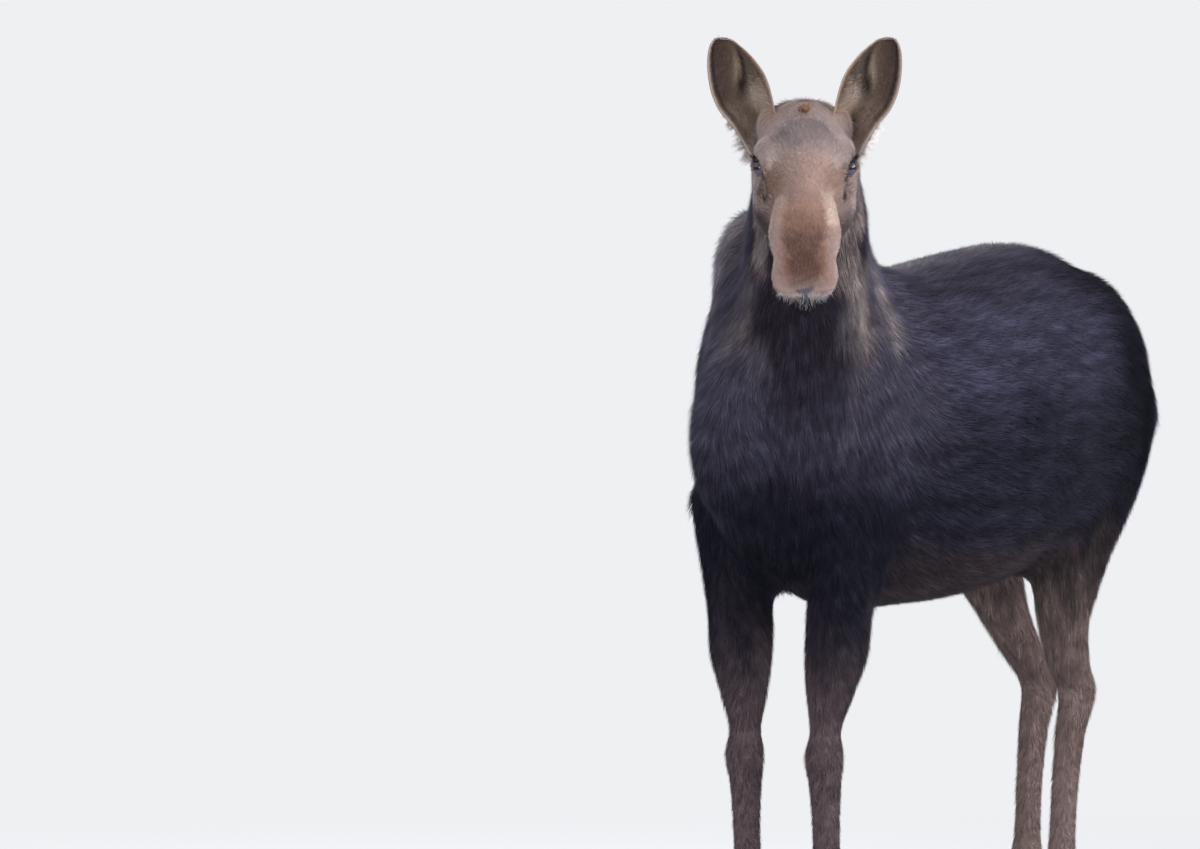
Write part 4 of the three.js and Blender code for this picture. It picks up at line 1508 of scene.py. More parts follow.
        # painted shade laid in the pit, the furrow and the crease
        out.lay(Tone.DARK, cup * np.clip(0.92 * np.maximum(pit_shade, np.maximum(0.9 * furrow_shade, crease_shade)), 0, 1))
        rim = np.minimum(s, 1 - s)
        out.lay(Tone.EAR_RIM, cup * 0.85 * hump(s, 0.05, 0.05) * ramp(t, 0.30, 0.40))
        out.lay(Tone.DARK, cup * 0.65 * hump(s, 0.105, 0.02) * hump(t, 0.52, 0.16))
        out.lay(Tone.DARK, cup * 0.75 * hump(1 - s, 0.075, 0.024) * ramp(t, 0.12, 0.3))
        edge = np.maximum(ramp(rim, 0.036, 0.016), ramp(t, 0.955, 0.985))
        out.lay(Tone.EAR_EDGE, edge * np.where(inside, 1.0, 0.5))
        out.lay(Tone.EAR_BASE, ramp(t, 0.13, 0.03) * ramp(s, 0.62, 0.8))
        return out.lay(Tone.CROWN, ramp(t, 0.07, 0.0) * ramp(s, 0.8, 0.62)).colour


# ---------------------------------------------------------------- finishes


class Tree:
    """A small helper to lay out and join the nodes of one node tree."""

    def __init__(self, tree: bpy.types.NodeTree) -> None:
        """Keeps the tree and empties it."""
        self.tree = tree
        tree.nodes.clear()

    def node(
        self, kind: str, inputs: dict[str | int, object] | None = None, **values: object
    ) -> bpy.types.Node:
        """A new node.

        Args:
            kind: the node's type.
            inputs: for some inputs, by name or number, the output that feeds each or its constant value.
            values: the node's own properties.

        Returns:
            The node.
        """
        node = self.tree.nodes.new(kind)
        for name, value in values.items():
            setattr(node, name, value)
        for name, value in (inputs or {}).items():
            if isinstance(value, bpy.types.NodeSocket):
                self.tree.links.new(value, node.inputs[name])
            else:
                node.inputs[name].default_value = value
        return node

    def math(self, operation: str, *terms: object) -> bpy.types.NodeSocket:
        """The result of a sum on numbers or outputs."""
        return self.node("ShaderNodeMath", dict(enumerate(terms)), operation=operation).outputs[0]


def new_material(name: str) -> tuple[bpy.types.Material, Tree]:
    """A material and the helper for its empty tree.

    Args:
        name: its name.

    Returns:
        The material and the helper.
    """
    made = bpy.data.materials.new(name)
    made.use_nodes = True
    return made, Tree(made.node_tree)


def mottle_group() -> bpy.types.NodeTree:
    """Hair colour varied from blotch to blotch and from hair to hair by noise on Object coordinates.

    Returns:
        The node group.
    """
    group = bpy.data.node_groups.new("hair mottle", "ShaderNodeTree")
    for name, way, kind in (
        ("Colour", "INPUT", "NodeSocketColor"),
        ("Blotch", "INPUT", "NodeSocketFloat"),
        ("Strand", "INPUT", "NodeSocketFloat"),
        ("Scale", "INPUT", "NodeSocketFloat"),
        ("Colour", "OUTPUT", "NodeSocketColor"),
        ("Height", "OUTPUT", "NodeSocketFloat"),
    ):
        group.interface.new_socket(name=name, in_out=way, socket_type=kind)
    tree = Tree(group)
    given = tree.node("NodeGroupInput").outputs
    place = tree.node("ShaderNodeTexCoord").outputs["Object"]
    wide = tree.node("ShaderNodeTexNoise", {"Detail": 3.0, "Vector": place, "Scale": given["Scale"]})
    fine = tree.node("ShaderNodeTexNoise", {"Detail": 2.0, "Vector": place, "Scale": 420.0})

    def swing(noise: bpy.types.Node, amount: bpy.types.NodeSocket) -> bpy.types.NodeSocket:
        """1 + 2.6 x (noise - 0.5) x amount."""
        centred = tree.math("SUBTRACT", noise.outputs["Fac"], 0.5)
        return tree.math("MULTIPLY_ADD", tree.math("MULTIPLY", centred, 2.6), amount, 1.0)

    both = tree.math("MULTIPLY", swing(wide, given["Blotch"]), swing(fine, given["Strand"]))
    scaled = tree.node("ShaderNodeVectorMath", {0: given["Colour"], "Scale": both}, operation="SCALE")
    tree.node("NodeGroupOutput", {"Colour": scaled.outputs[0], "Height": fine.outputs["Fac"]})
    return group


@dataclass(frozen=True)
class HairFinish:
    """The finish of a coat or of the skin under it, its colour from the stored markings."""

    name: str
    roughness: float = 0.62
    specular: float = 0.04
    blotch: float = 0.16
    strand: float = 0.18
    scale: float = 16.0
    bump: float = 0.0
    relief: float = 0.0012

    def material(self, mottle: bpy.types.NodeTree) -> bpy.types.Material:
        """The material, with the shared mottle group.

        Args:
            mottle: the shared mottle group.

        Returns:
            The material.
        """
        made, tree = new_material(self.name)
        stored = tree.node("ShaderNodeAttribute", attribute_name=MARKINGS)
        amounts = {"Blotch": self.blotch, "Strand": self.strand, "Scale": self.scale}
        amounts["Colour"] = stored.outputs["Color"]
        group = tree.node("ShaderNodeGroup", amounts, node_tree=mottle)
        inputs = {"Base Color": group.outputs["Colour"], "Roughness": self.roughness}
        inputs["Specular IOR Level"] = self.specular
        if self.bump:
            height = {"Strength": self.bump, "Distance": self.relief, "Height": group.outputs["Height"]}
            inputs["Normal"] = tree.node("ShaderNodeBump", height).outputs["Normal"]
        shader = tree.node("ShaderNodeBsdfPrincipled", inputs)
        tree.node("ShaderNodeOutputMaterial", {"Surface": shader.outputs[0]})
        return made


@dataclass(frozen=True)
class HornFinish:
    """Dull dark horn with rings of growth and paler worn patches by noise."""

    name: str = "hoof horn"
    dark: tuple = (0.016, 0.014, 0.014, 1)
    worn: tuple = (0.085, 0.072, 0.062, 1)
    roughness: tuple = (0.38, 0.62)

    def material(self) -> bpy.types.Material:
        """The material: wave bands by height on Object coordinates, roughened by noise.

        Returns:
            The material.
        """
        made, tree = new_material(self.name)
        place = tree.node("ShaderNodeTexCoord").outputs["Object"]
        bands = {"Scale": 26.0, "Distortion": 4.0, "Detail": 3.0, "Vector": place}
        rings = tree.node("ShaderNodeTexWave", bands, bands_direction="Z")
        noise = {"Scale": 90.0, "Detail": 5.0, "Vector": place}
        grit = tree.node("ShaderNodeTexNoise", noise).outputs["Fac"]
        mix = tree.math("MULTIPLY", rings.outputs["Fac"], grit)
        colour = tree.node("ShaderNodeValToRGB", {"Fac": mix})
        colour.color_ramp.elements[0].color, colour.color_ramp.elements[1].color = self.dark, self.worn
        low, high = self.roughness
        rough = tree.node("ShaderNodeMapRange", {"To Min": low, "To Max": high, "Value": grit})
        bump = tree.node("ShaderNodeBump", {"Strength": 0.5, "Distance": 0.0015, "Height": mix})
        inputs = {"Base Color": colour.outputs["Color"], "Roughness": rough.outputs["Result"]}
        shader = tree.node("ShaderNodeBsdfPrincipled", inputs | {"Normal": bump.outputs["Normal"]})
        tree.node("ShaderNodeOutputMaterial", {"Surface": shader.outputs[0]})
        return made


@dataclass(frozen=True)
class EyeFinish:
    """A wet dark eye under a clear coat, its iris and pupil stored as vertex colours."""

    name: str = "wet eye"
    roughness: float = 0.12
    specular: float = 0.15
    coat: float = 0.55
    coat_roughness: float = 0.09

    def material(self) -> bpy.types.Material:
        """The material: the stored colours, with the iris's fibres as fine noise.

        Returns:
            The material.
        """
        made, tree = new_material(self.name)
        stored = tree.node("ShaderNodeAttribute", attribute_name=MARKINGS)
        place = tree.node("ShaderNodeTexCoord").outputs["Object"]
        fibres = tree.node("ShaderNodeTexNoise", {"Scale": 700.0, "Detail": 3.0, "Vector": place})
        reach = {"To Min": 0.6, "To Max": 1.4, "Value": fibres.outputs["Fac"]}
        swing = tree.node("ShaderNodeMapRange", reach)
        shades = {0: stored.outputs["Color"], "Scale": swing.outputs["Result"]}
        scaled = tree.node("ShaderNodeVectorMath", shades, operation="SCALE")
        inputs = {
            "Base Color": scaled.outputs[0],
            "Roughness": self.roughness,
            "Specular IOR Level": self.specular,
            "Coat Weight": self.coat,
            "Coat Roughness": self.coat_roughness,
        }
        shader = tree.node("ShaderNodeBsdfPrincipled", inputs)
        tree.node("ShaderNodeOutputMaterial", {"Surface": shader.outputs[0]})
        return made


# ---------------------------------------------------------------- the coat


@dataclass
class Roots:
    """Where tufts grow: places and directions, colours, sizes and the spot of each on the unwrap."""

    at: Array
    normal: Array
    lie: Array
    colour: Array
    length: Array
    width: Array
    height: Array
    sway: Array
    spot: Array

    def pick(self, mask: Array) -> "Roots":
        """Only the roots under a mask."""
        return Roots(*(getattr(self, name)[mask] for name in self.__dataclass_fields__))


def joined(parts: list[Roots]) -> Roots:
    """Several sets of roots as one."""
    names = Roots.__dataclass_fields__
    return Roots(*(np.concatenate([getattr(r, name) for r in parts]) for name in names))


class Style(Enum):
    """How a tuft is shaped: for each ring along it, its share of the length and of the girth."""

    LOCK = ((0.0, 1.0), (0.5, 0.82))
    SPIKE = ((0.0, 1.0),)


def make_tufts(
    name: str, roots: Roots, style: Style, rng: np.random.Generator, finish: bpy.types.Material
) -> bpy.types.Object:
    """Joined closed tufts as one piece.

    A tuft's spine leaves the skin at the root, rises by height x (1 - (1 - t)^2) along the normal and
    runs length x t^1.15 along the lie, swaying a little to the side with t^2. Its section is a flat
    triangle that narrows to a point at the tip. A lock has a ring at its root and one on its way; a
    spike has the root's alone. Each tuft is a patch on the OFBake map, at its root's spot.

    Args:
        name: the piece's name.
        roots: where and how the tufts grow.
        style: the rings of each tuft.
        rng: the source of small differences.
        finish: the hair's material.

    Returns:
        The piece, with its markings and its OFBake map.
    """
    count = len(roots.at)
    across = unit(np.cross(roots.lie, roots.normal))
    sway = roots.sway + rng.normal(0, 0.05, count) * roots.length
    rings = style.value
    sink = 0.12 * roots.height + 0.6

    def spine(t: float) -> Array:
        """The tuft's middle at a share of its length.

        Args:
            t: the share of the length.

        Returns:
            One point for each tuft.
        """
        rise = roots.height * (1 - (1 - t) ** 2) - sink * (1 - t)
        run = roots.length * t**1.15
        straight = roots.at + roots.normal * rise[:, None] + roots.lie * run[:, None]
        return straight + across * (sway * t * t)[:, None]

    places, shades = [], []
    for t, girth in rings:
        middle, half = spine(t), 0.5 * roots.width * girth
        places += [middle - across * half[:, None], middle + roots.normal * (0.55 * half)[:, None]]
        places += [middle + across * half[:, None]]
        # painted shade and light along each tuft: darker at the root, where the coat shades it, and lighter
        # towards the tip, where light catches it
        shades += [0.70 + 0.36 * t] * 3
    points = np.stack([*places, spine(1.0)], axis=1).reshape(-1, 3)
    colours = (roots.colour[:, None, :] * np.array([*shades, 1.22])[None, :, None]).reshape(-1, 3)
    tip = 3 * len(rings)
    sides = ((0, 1), (1, 2), (2, 0))
    patterns = [np.array([[0, 1, 2]] + [[tip - 3 + a, tip, tip - 3 + b] for a, b in sides])]
    if len(rings) > 1:
        patterns.append(np.array([[a, a + 3, b + 3, b] for a, b in sides]))
    base = (np.arange(count) * (tip + 1))[:, None, None]
    faces = [(base + pattern[None]).reshape(-1, pattern.shape[1]) for pattern in patterns]
    piece = mesh_object(name, points * MM, faces, finish, colours)
    along = np.array([*np.repeat([t for t, _ in rings], 3), 1.0])
    wide = np.array([*[0.0, 0.5, 1.0] * len(rings), 0.5])
    spot = (roots.spot[:, None, :] + np.stack([along, wide], axis=1)[None] * PATCH).reshape(-1, 2)
    corners = np.concatenate([f.ravel() for f in faces])
    layer = piece.data.uv_layers.new(name="OFBake")
    layer.data.foreach_set("uv", np.clip(spot[corners], 0, 1).astype(np.float32).ravel())
    return piece


def spread_charts(roots: Roots, charts: Array) -> Roots:
    """The roots' spots, with each chart stretched to fill its own upright strip of the unit square.

    Args:
        roots: the roots.
        charts: the chart that each is on.

    Returns:
        The same roots.
    """
    spots = roots.spot.copy()
    kinds = np.unique(charts)
    for column, kind in enumerate(kinds):
        mask = charts == kind
        low, high = spots[mask].min(axis=0), spots[mask].max(axis=0)
        share = (spots[mask] - low) / np.maximum(high - low, 1e-6)
        strip = 1 / len(kinds)
        spots[mask, 0] = (column + share[:, 1] * (0.99 - PATCH * len(kinds))) * strip
        spots[mask, 1] = share[:, 0] * (1 - 2 * PATCH)
    roots.spot = spots
    return roots


def dress(
    name: str,
    slot: str,
    roots: Roots,
    charts: Array,
    style: Style,
    rng: np.random.Generator,
    finish: bpy.types.Material,
) -> None:
    """Makes one piece of hair and hands it over.

    Args:
        name: the piece's name.
        slot: the slot named in the log.
        roots: its roots, in the drafting frame.
        charts: the chart of the unwrap that each root is on.
        style: the rings of each tuft.
        rng: the source of small differences.
        finish: the hair's material.
    """
    roots = spread_charts(roots, charts)
    roots.at = roots.at + ANATOMY.shift
    hand_over(make_tufts(name, roots, style, rng, finish), slot)


class Coat:
    """The coat of the body, grown from roots spread evenly over the skin's mesh."""

    DENSITY = {  # how many tufts grow on 100 square mm
        Region.TRUNK: 5.3, Region.NECK: 5.6, Region.HEAD: 18.0, Region.TAIL: 9.0, **dict.fromkeys(LEGS, 6.2)
    }
    LOCKS = 17.0  # the rough width of the locks that tufts gather in, mm

    def __init__(self, anatomy: Anatomy, markings: Markings, rng: np.random.Generator) -> None:
        """Keeps what the coat is worked out from."""
        self.anatomy, self.markings, self.rng = anatomy, markings, rng

    def lie(self, points: Array, shares: Array, normals: Array) -> Array:
        """The way the hair lies: back and down the body, up the face from the muzzle, down the legs.

        Args:
            points: positions in the drafting frame, (n, 3), mm.
            shares: the regions' shares at the points, (n, regions).
            normals: the skin's normals.

        Returns:
            Unit directions along the skin.
        """
        x, y, z = points.T
        zero, one = np.zeros(len(points)), np.ones(len(points))
        shoulder, rump = ramp(y, 330, 20), ramp(y, 950, 1250)
        down = -0.16 - 0.75 * shoulder - 0.75 * rump
        back = 1 - 0.55 * shoulder - 0.6 * rump
        spread = 0.30 * np.sign(x) * ramp(z, 1500, 1700) * (1 - shoulder)
        trunk = np.stack([spread, back, down], axis=1)
        q = self.anatomy.head.local(points)
        cheek = ramp(q[:, 2], 30, -50)
        crown = ramp(q[:, 1], 120 + 0.018 * q[:, 0] ** 2, 96 + 0.018 * q[:, 0] ** 2) * (q[:, 2] > 30)
        along = np.where(crown > 0.5, 1.0, -1.0)
        aside = np.tanh(q[:, 0] / 30) * (0.25 * (1 - cheek) + 0.5 * crown)
        lift = ramp(q[:, 1], 515, 575) * np.where(q[:, 2] > -58, 1.4, -1.2) * (q[:, 2] > -95)
        face = self.anatomy.head.turn(np.stack([aside, along, lift - 0.30 * cheek], axis=1))
        neck = -0.75 * self.anatomy.neck.axes[1] + np.array([0, 0.1, -0.65])
        ways = {Region.TRUNK: trunk, Region.NECK: np.tile(neck, (len(points), 1)), Region.HEAD: face}
        leg = np.stack([zero, 0.16 * one, -one], axis=1)
        out = sum(shares[:, region.value, None] * way for region, way in ways.items())
        out = out + shares[:, [r.value for r in (*LEGS, Region.TAIL)]].sum(axis=1)[:, None] * leg
        out = unit(out - (out * normals).sum(axis=1, keepdims=True) * normals)
        turn = 0.20 * ripple(points, 230, 21) + 0.07 * ripple(points, 60, 22)
        turn = turn * np.where(shares[:, Region.HEAD.value] > 0.5, 0.6, 1.0)
        turn = turn + self.rng.normal(0, 0.08, len(points))
        across = np.cross(normals, out)
        return unit(out * np.cos(turn)[:, None] + across * np.sin(turn)[:, None])

    def sizes(self, points: Array, shares: Array) -> tuple[Array, Array]:
        """The length and width of the tufts at points, mm, blended from the regions' own.

        Args:
            points: positions in the drafting frame, (n, 3), mm.
            shares: the regions' shares at the points, (n, regions).

        Returns:
            The lengths and the widths.
        """
        z = points[:, 2]
        q = self.anatomy.head.local(points)
        crest = ramp(self.anatomy.neck.local(points)[:, 2], 0, 180)
        crown = ramp(q[:, 1], 128 + 0.018 * q[:, 0] ** 2, 108 + 0.018 * q[:, 0] ** 2) * (q[:, 2] > 30)
        chin = ramp(q[:, 2], -96, -112) * ramp(q[:, 1], 400, 440)
        face = 8 + 5 * ramp(q[:, 1], 470, 300) + 4 * ramp(q[:, 1], 260, 120) + 10 * ramp(q[:, 2], -60, -130)
        face = face + 5 * crown + 5 * chin
        for side in SIDES:
            away = np.linalg.norm(points - self.anatomy.head.world([EYE[0] * side, EYE[1], EYE[2]]), axis=1)
            face = face * (1 - 0.62 * ramp(away, 44, 28))
        hind = 17 + 10 * ramp(z, 420, 560) + 12 * ramp(z, 680, 900) + 22 * ramp(z, 150, 100)
        fore = 16 + 8 * ramp(z, 420, 620) + 12 * ramp(z, 680, 900) + 22 * ramp(z, 150, 100)
        lengths = {
            Region.TRUNK: 38 - 14 * ramp(z, 1540, 1700) * ramp(points[:, 1], 420, 200),
            Region.NECK: 38 + 4 * crest,
            Region.HEAD: face,
            Region.TAIL: np.full(len(z), 42.0),
            Region.FORE_LEFT: fore,
            Region.FORE_RIGHT: fore,
            Region.HIND_LEFT: hind,
            Region.HIND_RIGHT: hind,
        }
        widths = {region: 1.7 + 0.4 * ramp(z, 650, 950) for region in LEGS}
        widths |= {Region.TRUNK: 2.1, Region.NECK: 2.1, Region.TAIL: 2.0}
        widths |= {Region.HEAD: 1.15 + 0.35 * ramp(q[:, 1], 470, 200) + 0.5 * ramp(q[:, 2], -60, -130)}
        length = sum(shares[:, region.value] * value for region, value in lengths.items())
        width = sum(shares[:, region.value] * value for region, value in widths.items())
        return length, width

    def roots(self, points: Array, triangles: Array, normals: Array) -> tuple[Roots, Array]:
        """Roots spread over the skin's triangles.

        The running sum of area times density is cut into equal steps and one root is drawn in each,
        so that the roots are even but not in rows.

        Args:
            points: the skin's vertices, mm.
            triangles: its triangles.
            normals: its vertex normals.

        Returns:
            The roots and the region of each.
        """
        corners = points[triangles]
        edges = corners[:, 1:] - corners[:, :1]
        area = np.linalg.norm(np.cross(edges[:, 0], edges[:, 1]), axis=1) / 2
        centres = corners.mean(axis=1)
        shares = self.anatomy.shares(self.anatomy.distances(centres))
        density = sum(shares[:, region.value] * value for region, value in self.DENSITY.items()) / 100
        total = np.cumsum(area * density)
        count = int(total[-1])
        drawn = (np.arange(count) + self.rng.uniform(0, 1, count)) * (total[-1] / count)
        pick = np.minimum(np.searchsorted(total, drawn), len(triangles) - 1)
        a, b = self.rng.uniform(0, 1, (2, count))
        over = a + b > 1
        a, b = np.where(over, 1 - a, a), np.where(over, 1 - b, b)
        weights = np.stack([1 - a - b, a, b], axis=1)[:, :, None]
        at = (corners[pick] * weights).sum(axis=1)
        normal = unit((normals[triangles[pick]] * weights).sum(axis=1))
        distances = self.anatomy.distances(at)
        shares = self.anatomy.shares(distances)
        region = shares.argmax(axis=1)
        length, width = self.sizes(at, shares)
        depth = self.anatomy.depth(at, shares)
        lie = self.lie(at, shares, normal)
        on_head = shares[:, Region.HEAD.value]
        size = self.LOCKS * (1 - 0.5 * on_head)
        crest, slope = waves(at * (self.LOCKS / size)[:, None], self.LOCKS, 31)
        gather = (slope * unit(np.cross(lie, normal))).sum(axis=1) * (size / (2 * math.pi)) ** 2
        spread = np.exp(self.rng.normal(0, 0.2, count))
        stray = self.rng.uniform(0, 1, count) < 0.04
        height = depth * self.rng.uniform(0.35, 0.85, count) * (1 + 0.18 * crest)
        height = height * np.where(stray, 1.25, 1.0)
        drift = ripple(at * [1, 0.35, 1], 26, 32)
        # painted sheen: tufts on the crests of the locks are lighter and those in the hollows between them
        # darker; the rest is a random spread from tuft to tuft and streaks
        shade = self.rng.normal(0, 0.12, count) + (0.20 - 0.14 * on_head) * crest
        shade = np.exp(shade + 0.22 * (1 - on_head) * drift)
        colour = self.markings.body(at, shares) * shade[:, None]
        spot = self.unwrap(at, region)
        roots = Roots(at, normal, lie, colour, length * spread, width * spread, height, 1.2 * gather, spot)
        keep = self.grows(at)
        return roots.pick(keep), region[keep]

    def grows(self, points: Array) -> Array:
        """Where hair grows: not in the eyes' slits, the nostrils or on the bare pad of the nose.

        Args:
            points: positions in the drafting frame, (n, 3), mm.

        Returns:
            A mask.
        """
        head = self.anatomy.head
        s, a, u = head.local(points).T
        bare = (np.hypot(s / 12, (a - 601) / 13) < 1) & (u < -44)
        for side in SIDES:
            eye = eye_place(head, side).local(points)
            bare |= (np.hypot(eye[:, 0] / 22, eye[:, 2] / 13.5) < 1) & (eye[:, 1] > 4) & (eye[:, 1] < 45)
            bare |= nostril(head, side).distance(points) < 2.0
        return ~bare & (points[:, 2] > CORONET + 3)

    def unwrap(self, points: Array, region: Array) -> Array:
        """The skin unrolled: each region rolled flat round its own axis, as shares of length and girth.

        Args:
            points: positions in the drafting frame, (n, 3), mm.
            region: the region of each point.

        Returns:
            Spots on the unwrap, (n, 2).
        """
        out = np.zeros((len(points), 2))
        x, y, z = points.T
        neck, head = self.anatomy.neck.local(points), self.anatomy.head.local(points)
        rolls = {
            Region.TRUNK: ((y + 340) / 1780, x, z - 1290),
            Region.NECK: ((neck[:, 1] + 200) / 900, neck[:, 0], neck[:, 2]),
            Region.HEAD: ((head[:, 1] + 80) / 720, head[:, 0], head[:, 2] + 20),
            Region.TAIL: ((z - 1370) / 200, x, y - 1402),
        }
        for leg in LEGS:
            form = self.anatomy.legs[leg]
            rolls[leg] = (z / 1300, x - form.value("side", z), y - form.value("middle", z))
        for kind, (along, across, up) in rolls.items():
            mask = region == kind.value
            turn = np.arctan2(across, up)[mask] / (2 * math.pi) + 0.5
            out[mask] = np.stack([np.clip(along[mask], 0, 1), turn], axis=1)
        return out

    def pieces(self, at: Array, region: Array) -> Iterator[tuple[str, str, Array]]:
        """The name, the slot and the roots of each piece of the coat, as a mask.

        Args:
            at: the places, (n, 3), mm.
            region: the region of each point.

        Returns:
            The name, slot and mask of each in turn.
        """
        left, rear = at[:, 0] > 0, at[:, 1] > REAR
        trunk, neck, head = (region == kind.value for kind in (Region.TRUNK, Region.NECK, Region.HEAD))
        on_side = {"flank": left, "rump": left, "neck": self.anatomy.neck.local(at)[:, 0] > 0}
        on_side["head"] = self.anatomy.head.local(at)[:, 0] > 0
        parts = {"flank": trunk & ~rear, "rump": trunk & rear, "neck": neck, "head": head}
        for (part, mask), side in product(parts.items(), SIDES):
            slot = "face_coat" if part == "head" else "body_coat"
            yield f"coat_{part}_{SIDES[side]}", slot, mask & (on_side[part] == (side > 0))
        for end, legs in (("fore", LEGS[:2]), ("hind", LEGS[2:])):
            yield f"coat_{end}legs", "leg_coat", np.isin(region, [leg.value for leg in legs])
        yield "coat_tail", "body_coat", region == Region.TAIL.value

    def build(self, points: Array, quads: Array, normals: Array, finish: bpy.types.Material) -> None:
        """Makes the coat of the body, from the skin's net, in its pieces.

        Args:
            points: the net's points, mm.
            quads: its quads.
            normals: its normals.
            finish: the material.
        """
        roots, region = self.roots(points, np.concatenate([quads[:, :3], quads[:, [0, 2, 3]]]), normals)
        for name, slot, mask in self.pieces(roots.at, region):
            dress(name, slot, roots.pick(mask), region[mask], Style.SPIKE, self.rng, finish)


class EarCoat:
    """The hair of one ear: short on its back, longer and paler inside, ragged along its outer rim."""

    BACK, INSIDE, LONG = 0, 1, 2  # the charts of the unwrap
    FALL = (0.30, -0.85)  # how far the locks at the root hang ahead and down

    def __init__(self, ear: Ear, anatomy: Anatomy, markings: Markings, rng: np.random.Generator) -> None:
        """Keeps what the coat is worked out from."""
        self.ear, self.anatomy, self.markings, self.rng = ear, anatomy, markings, rng

    def _grown(self, t: Array, s: Array, inset: float, inside: bool, out: Array) -> Roots:
        """Roots at shares of the ear, with normals from differences and hair lying towards the tip.

        Args:
            t: the share from root to tip.
            s: the share from the inner rim to the outer one.
            inset: the distance in from the coat's outer face.
            inside: whether they are in the cup or on its back.
            out: how far each hair leans towards the outer rim, (n, 1).

        Returns:
            The roots, with sizes still to be set.
        """
        head, step, count = self.anatomy.head, 0.004, len(t)

        def place(t: Array, s: Array) -> Array:
            """Points at shares of the ear."""
            return self.ear.points(head, t, s, np.full(count, inset))

        up = place(np.minimum(t + step, 1), s) - place(np.maximum(t - step, -0.05), s)
        wide = place(t, np.minimum(s + step, 1)) - place(t, np.maximum(s - step, 0))
        normal = unit(np.cross(up, wide))
        ahead = np.where(normal @ head.turn([0, 1.0, 0.1]) > 0, 1.0, -1.0)
        normal = normal * (ahead if inside else -ahead)[:, None]
        lean = unit(unit(up) + out * unit(wide))
        colour = self.markings.ear(t, s, np.full(count, inside)) * self._varied(0.14, count)[:, None]
        spot = np.stack([np.clip(t, 0, 1), np.clip(s, 0, 1)], axis=1)
        blank = np.ones(count)
        return Roots(place(t, s), normal, lean, colour, blank, blank, blank, 0 * blank, spot)

    def _varied(self, spread: float, count: int) -> Array:
        """Factors that vary about one."""
        return np.exp(self.rng.normal(0, spread, count))

    def face(self, inside: bool, count: int) -> Roots:
        """The short hair of the ear's back or of its inside, longer on the cup's inner wall.

        Args:
            inside: whether it's the cup's hair.
            count: how many are drawn.

        Returns:
            Their roots.
        """
        rng = self.rng
        t, s = rng.uniform(0.0, 0.995, count), rng.uniform(0.01, 0.99, count)
        inset = self.ear.inner_inset if inside else self.ear.outer_inset
        grown = self._grown(t, s, inset, inside, rng.normal(0, 0.25, count)[:, None])
        wall = inside * hump(s, 0.22, 0.16) * hump(t, 0.36, 0.26)
        tip = 1 - 0.62 * ramp(t, 0.74, 0.98)
        grown.length = (8 + 9 * wall) * self._varied(0.25, count) * tip
        grown.width = 1.25 * self._varied(0.2, count)
        grown.height = ((2.6 if inside else 1.8) * rng.uniform(0.6, 1.2, count) + 4.0 * wall) * tip
        return grown

    def fan(self, count: int = 460) -> Roots:
        """Pale hair that reaches across the cup from its inner wall.

        Args:
            count: how many are drawn.

        Returns:
            Their roots.
        """
        rng = self.rng
        t, s = rng.uniform(0.14, 0.50, count), rng.uniform(0.05, 0.30, count)
        grown = self._grown(t, s, self.ear.inner_inset, True, rng.uniform(0.2, 1.2, (count, 1)))
        paint = np.where((t < 0.40)[:, None], Tone.EAR_PALE.value, Tone.EAR_STRIPE.value)
        grown.colour = paint * self._varied(0.2, count)[:, None]
        grown.lie = unit(grown.lie + 0.3 * grown.normal)
        grown.length = rng.uniform(10, 24, count) * ramp(t, 0.56, 0.34)
        grown.width = rng.uniform(1.0, 1.7, count)
        grown.height = rng.uniform(3, 7, count)
        return grown

    def fringe(self, count: int = 1600, locks: int = 40) -> Roots:
        """White locks that hang out from the root of the outer rim, each gathered to a tip.

        Args:
            count: how many are drawn.
            locks: how many locks they gather in.

        Returns:
            Their roots.
        """
        rng = self.rng
        lock = rng.integers(0, locks, count)
        middle = np.sort(rng.uniform(0.01, 0.32, locks))
        t = np.clip(middle[lock] + rng.normal(0, 0.012, count), 0, 0.36)
        s = rng.uniform(0.90, 1.0, count)
        grown = self._grown(t, s, self.ear.inner_inset, True, np.zeros((count, 1)))
        lean = self.anatomy.head.turn([self.ear.side, *self.FALL])
        heads = unit(lean + 0.25 * rng.normal(size=(locks, 3)))
        reach = 10 + rng.uniform(10, 32, locks) * ramp(middle, 0.30, 0.12)
        members = np.maximum(np.bincount(lock, minlength=locks), 1)
        mean = np.stack([np.bincount(lock, values, locks) / members for values in grown.at.T], axis=1)
        tip = mean + heads * reach[:, None]
        way = tip[lock] - grown.at + 2.2 * rng.normal(size=(count, 3))
        grown.lie = unit(way)
        grown.length = np.linalg.norm(way, axis=1) * rng.uniform(0.6, 1.1, count)
        grown.colour = np.array(Tone.EAR_TUFT.value) * self._varied(0.16, count)[:, None]
        grown.width = rng.uniform(0.9, 1.6, count)
        grown.height = rng.uniform(0.5, 2.0, count)
        return grown

    def build(self, finish: bpy.types.Material) -> None:
        """Makes the ear's coat as one piece.

        Args:
            finish: the material.
        """
        sets = [self.face(False, 4600), self.face(True, 6200), self.fan(), self.fringe()]
        charts = (self.BACK, self.INSIDE, self.LONG, self.LONG)
        chart = np.concatenate([np.full(len(part.at), kind) for part, kind in zip(sets, charts)])
        name = f"coat_ear_{SIDES[self.ear.side]}"
        dress(name, "face_coat", joined(sets), chart, Style.SPIKE, self.rng, finish)


# ---------------------------------------------------------------- eyes, horn and long hair


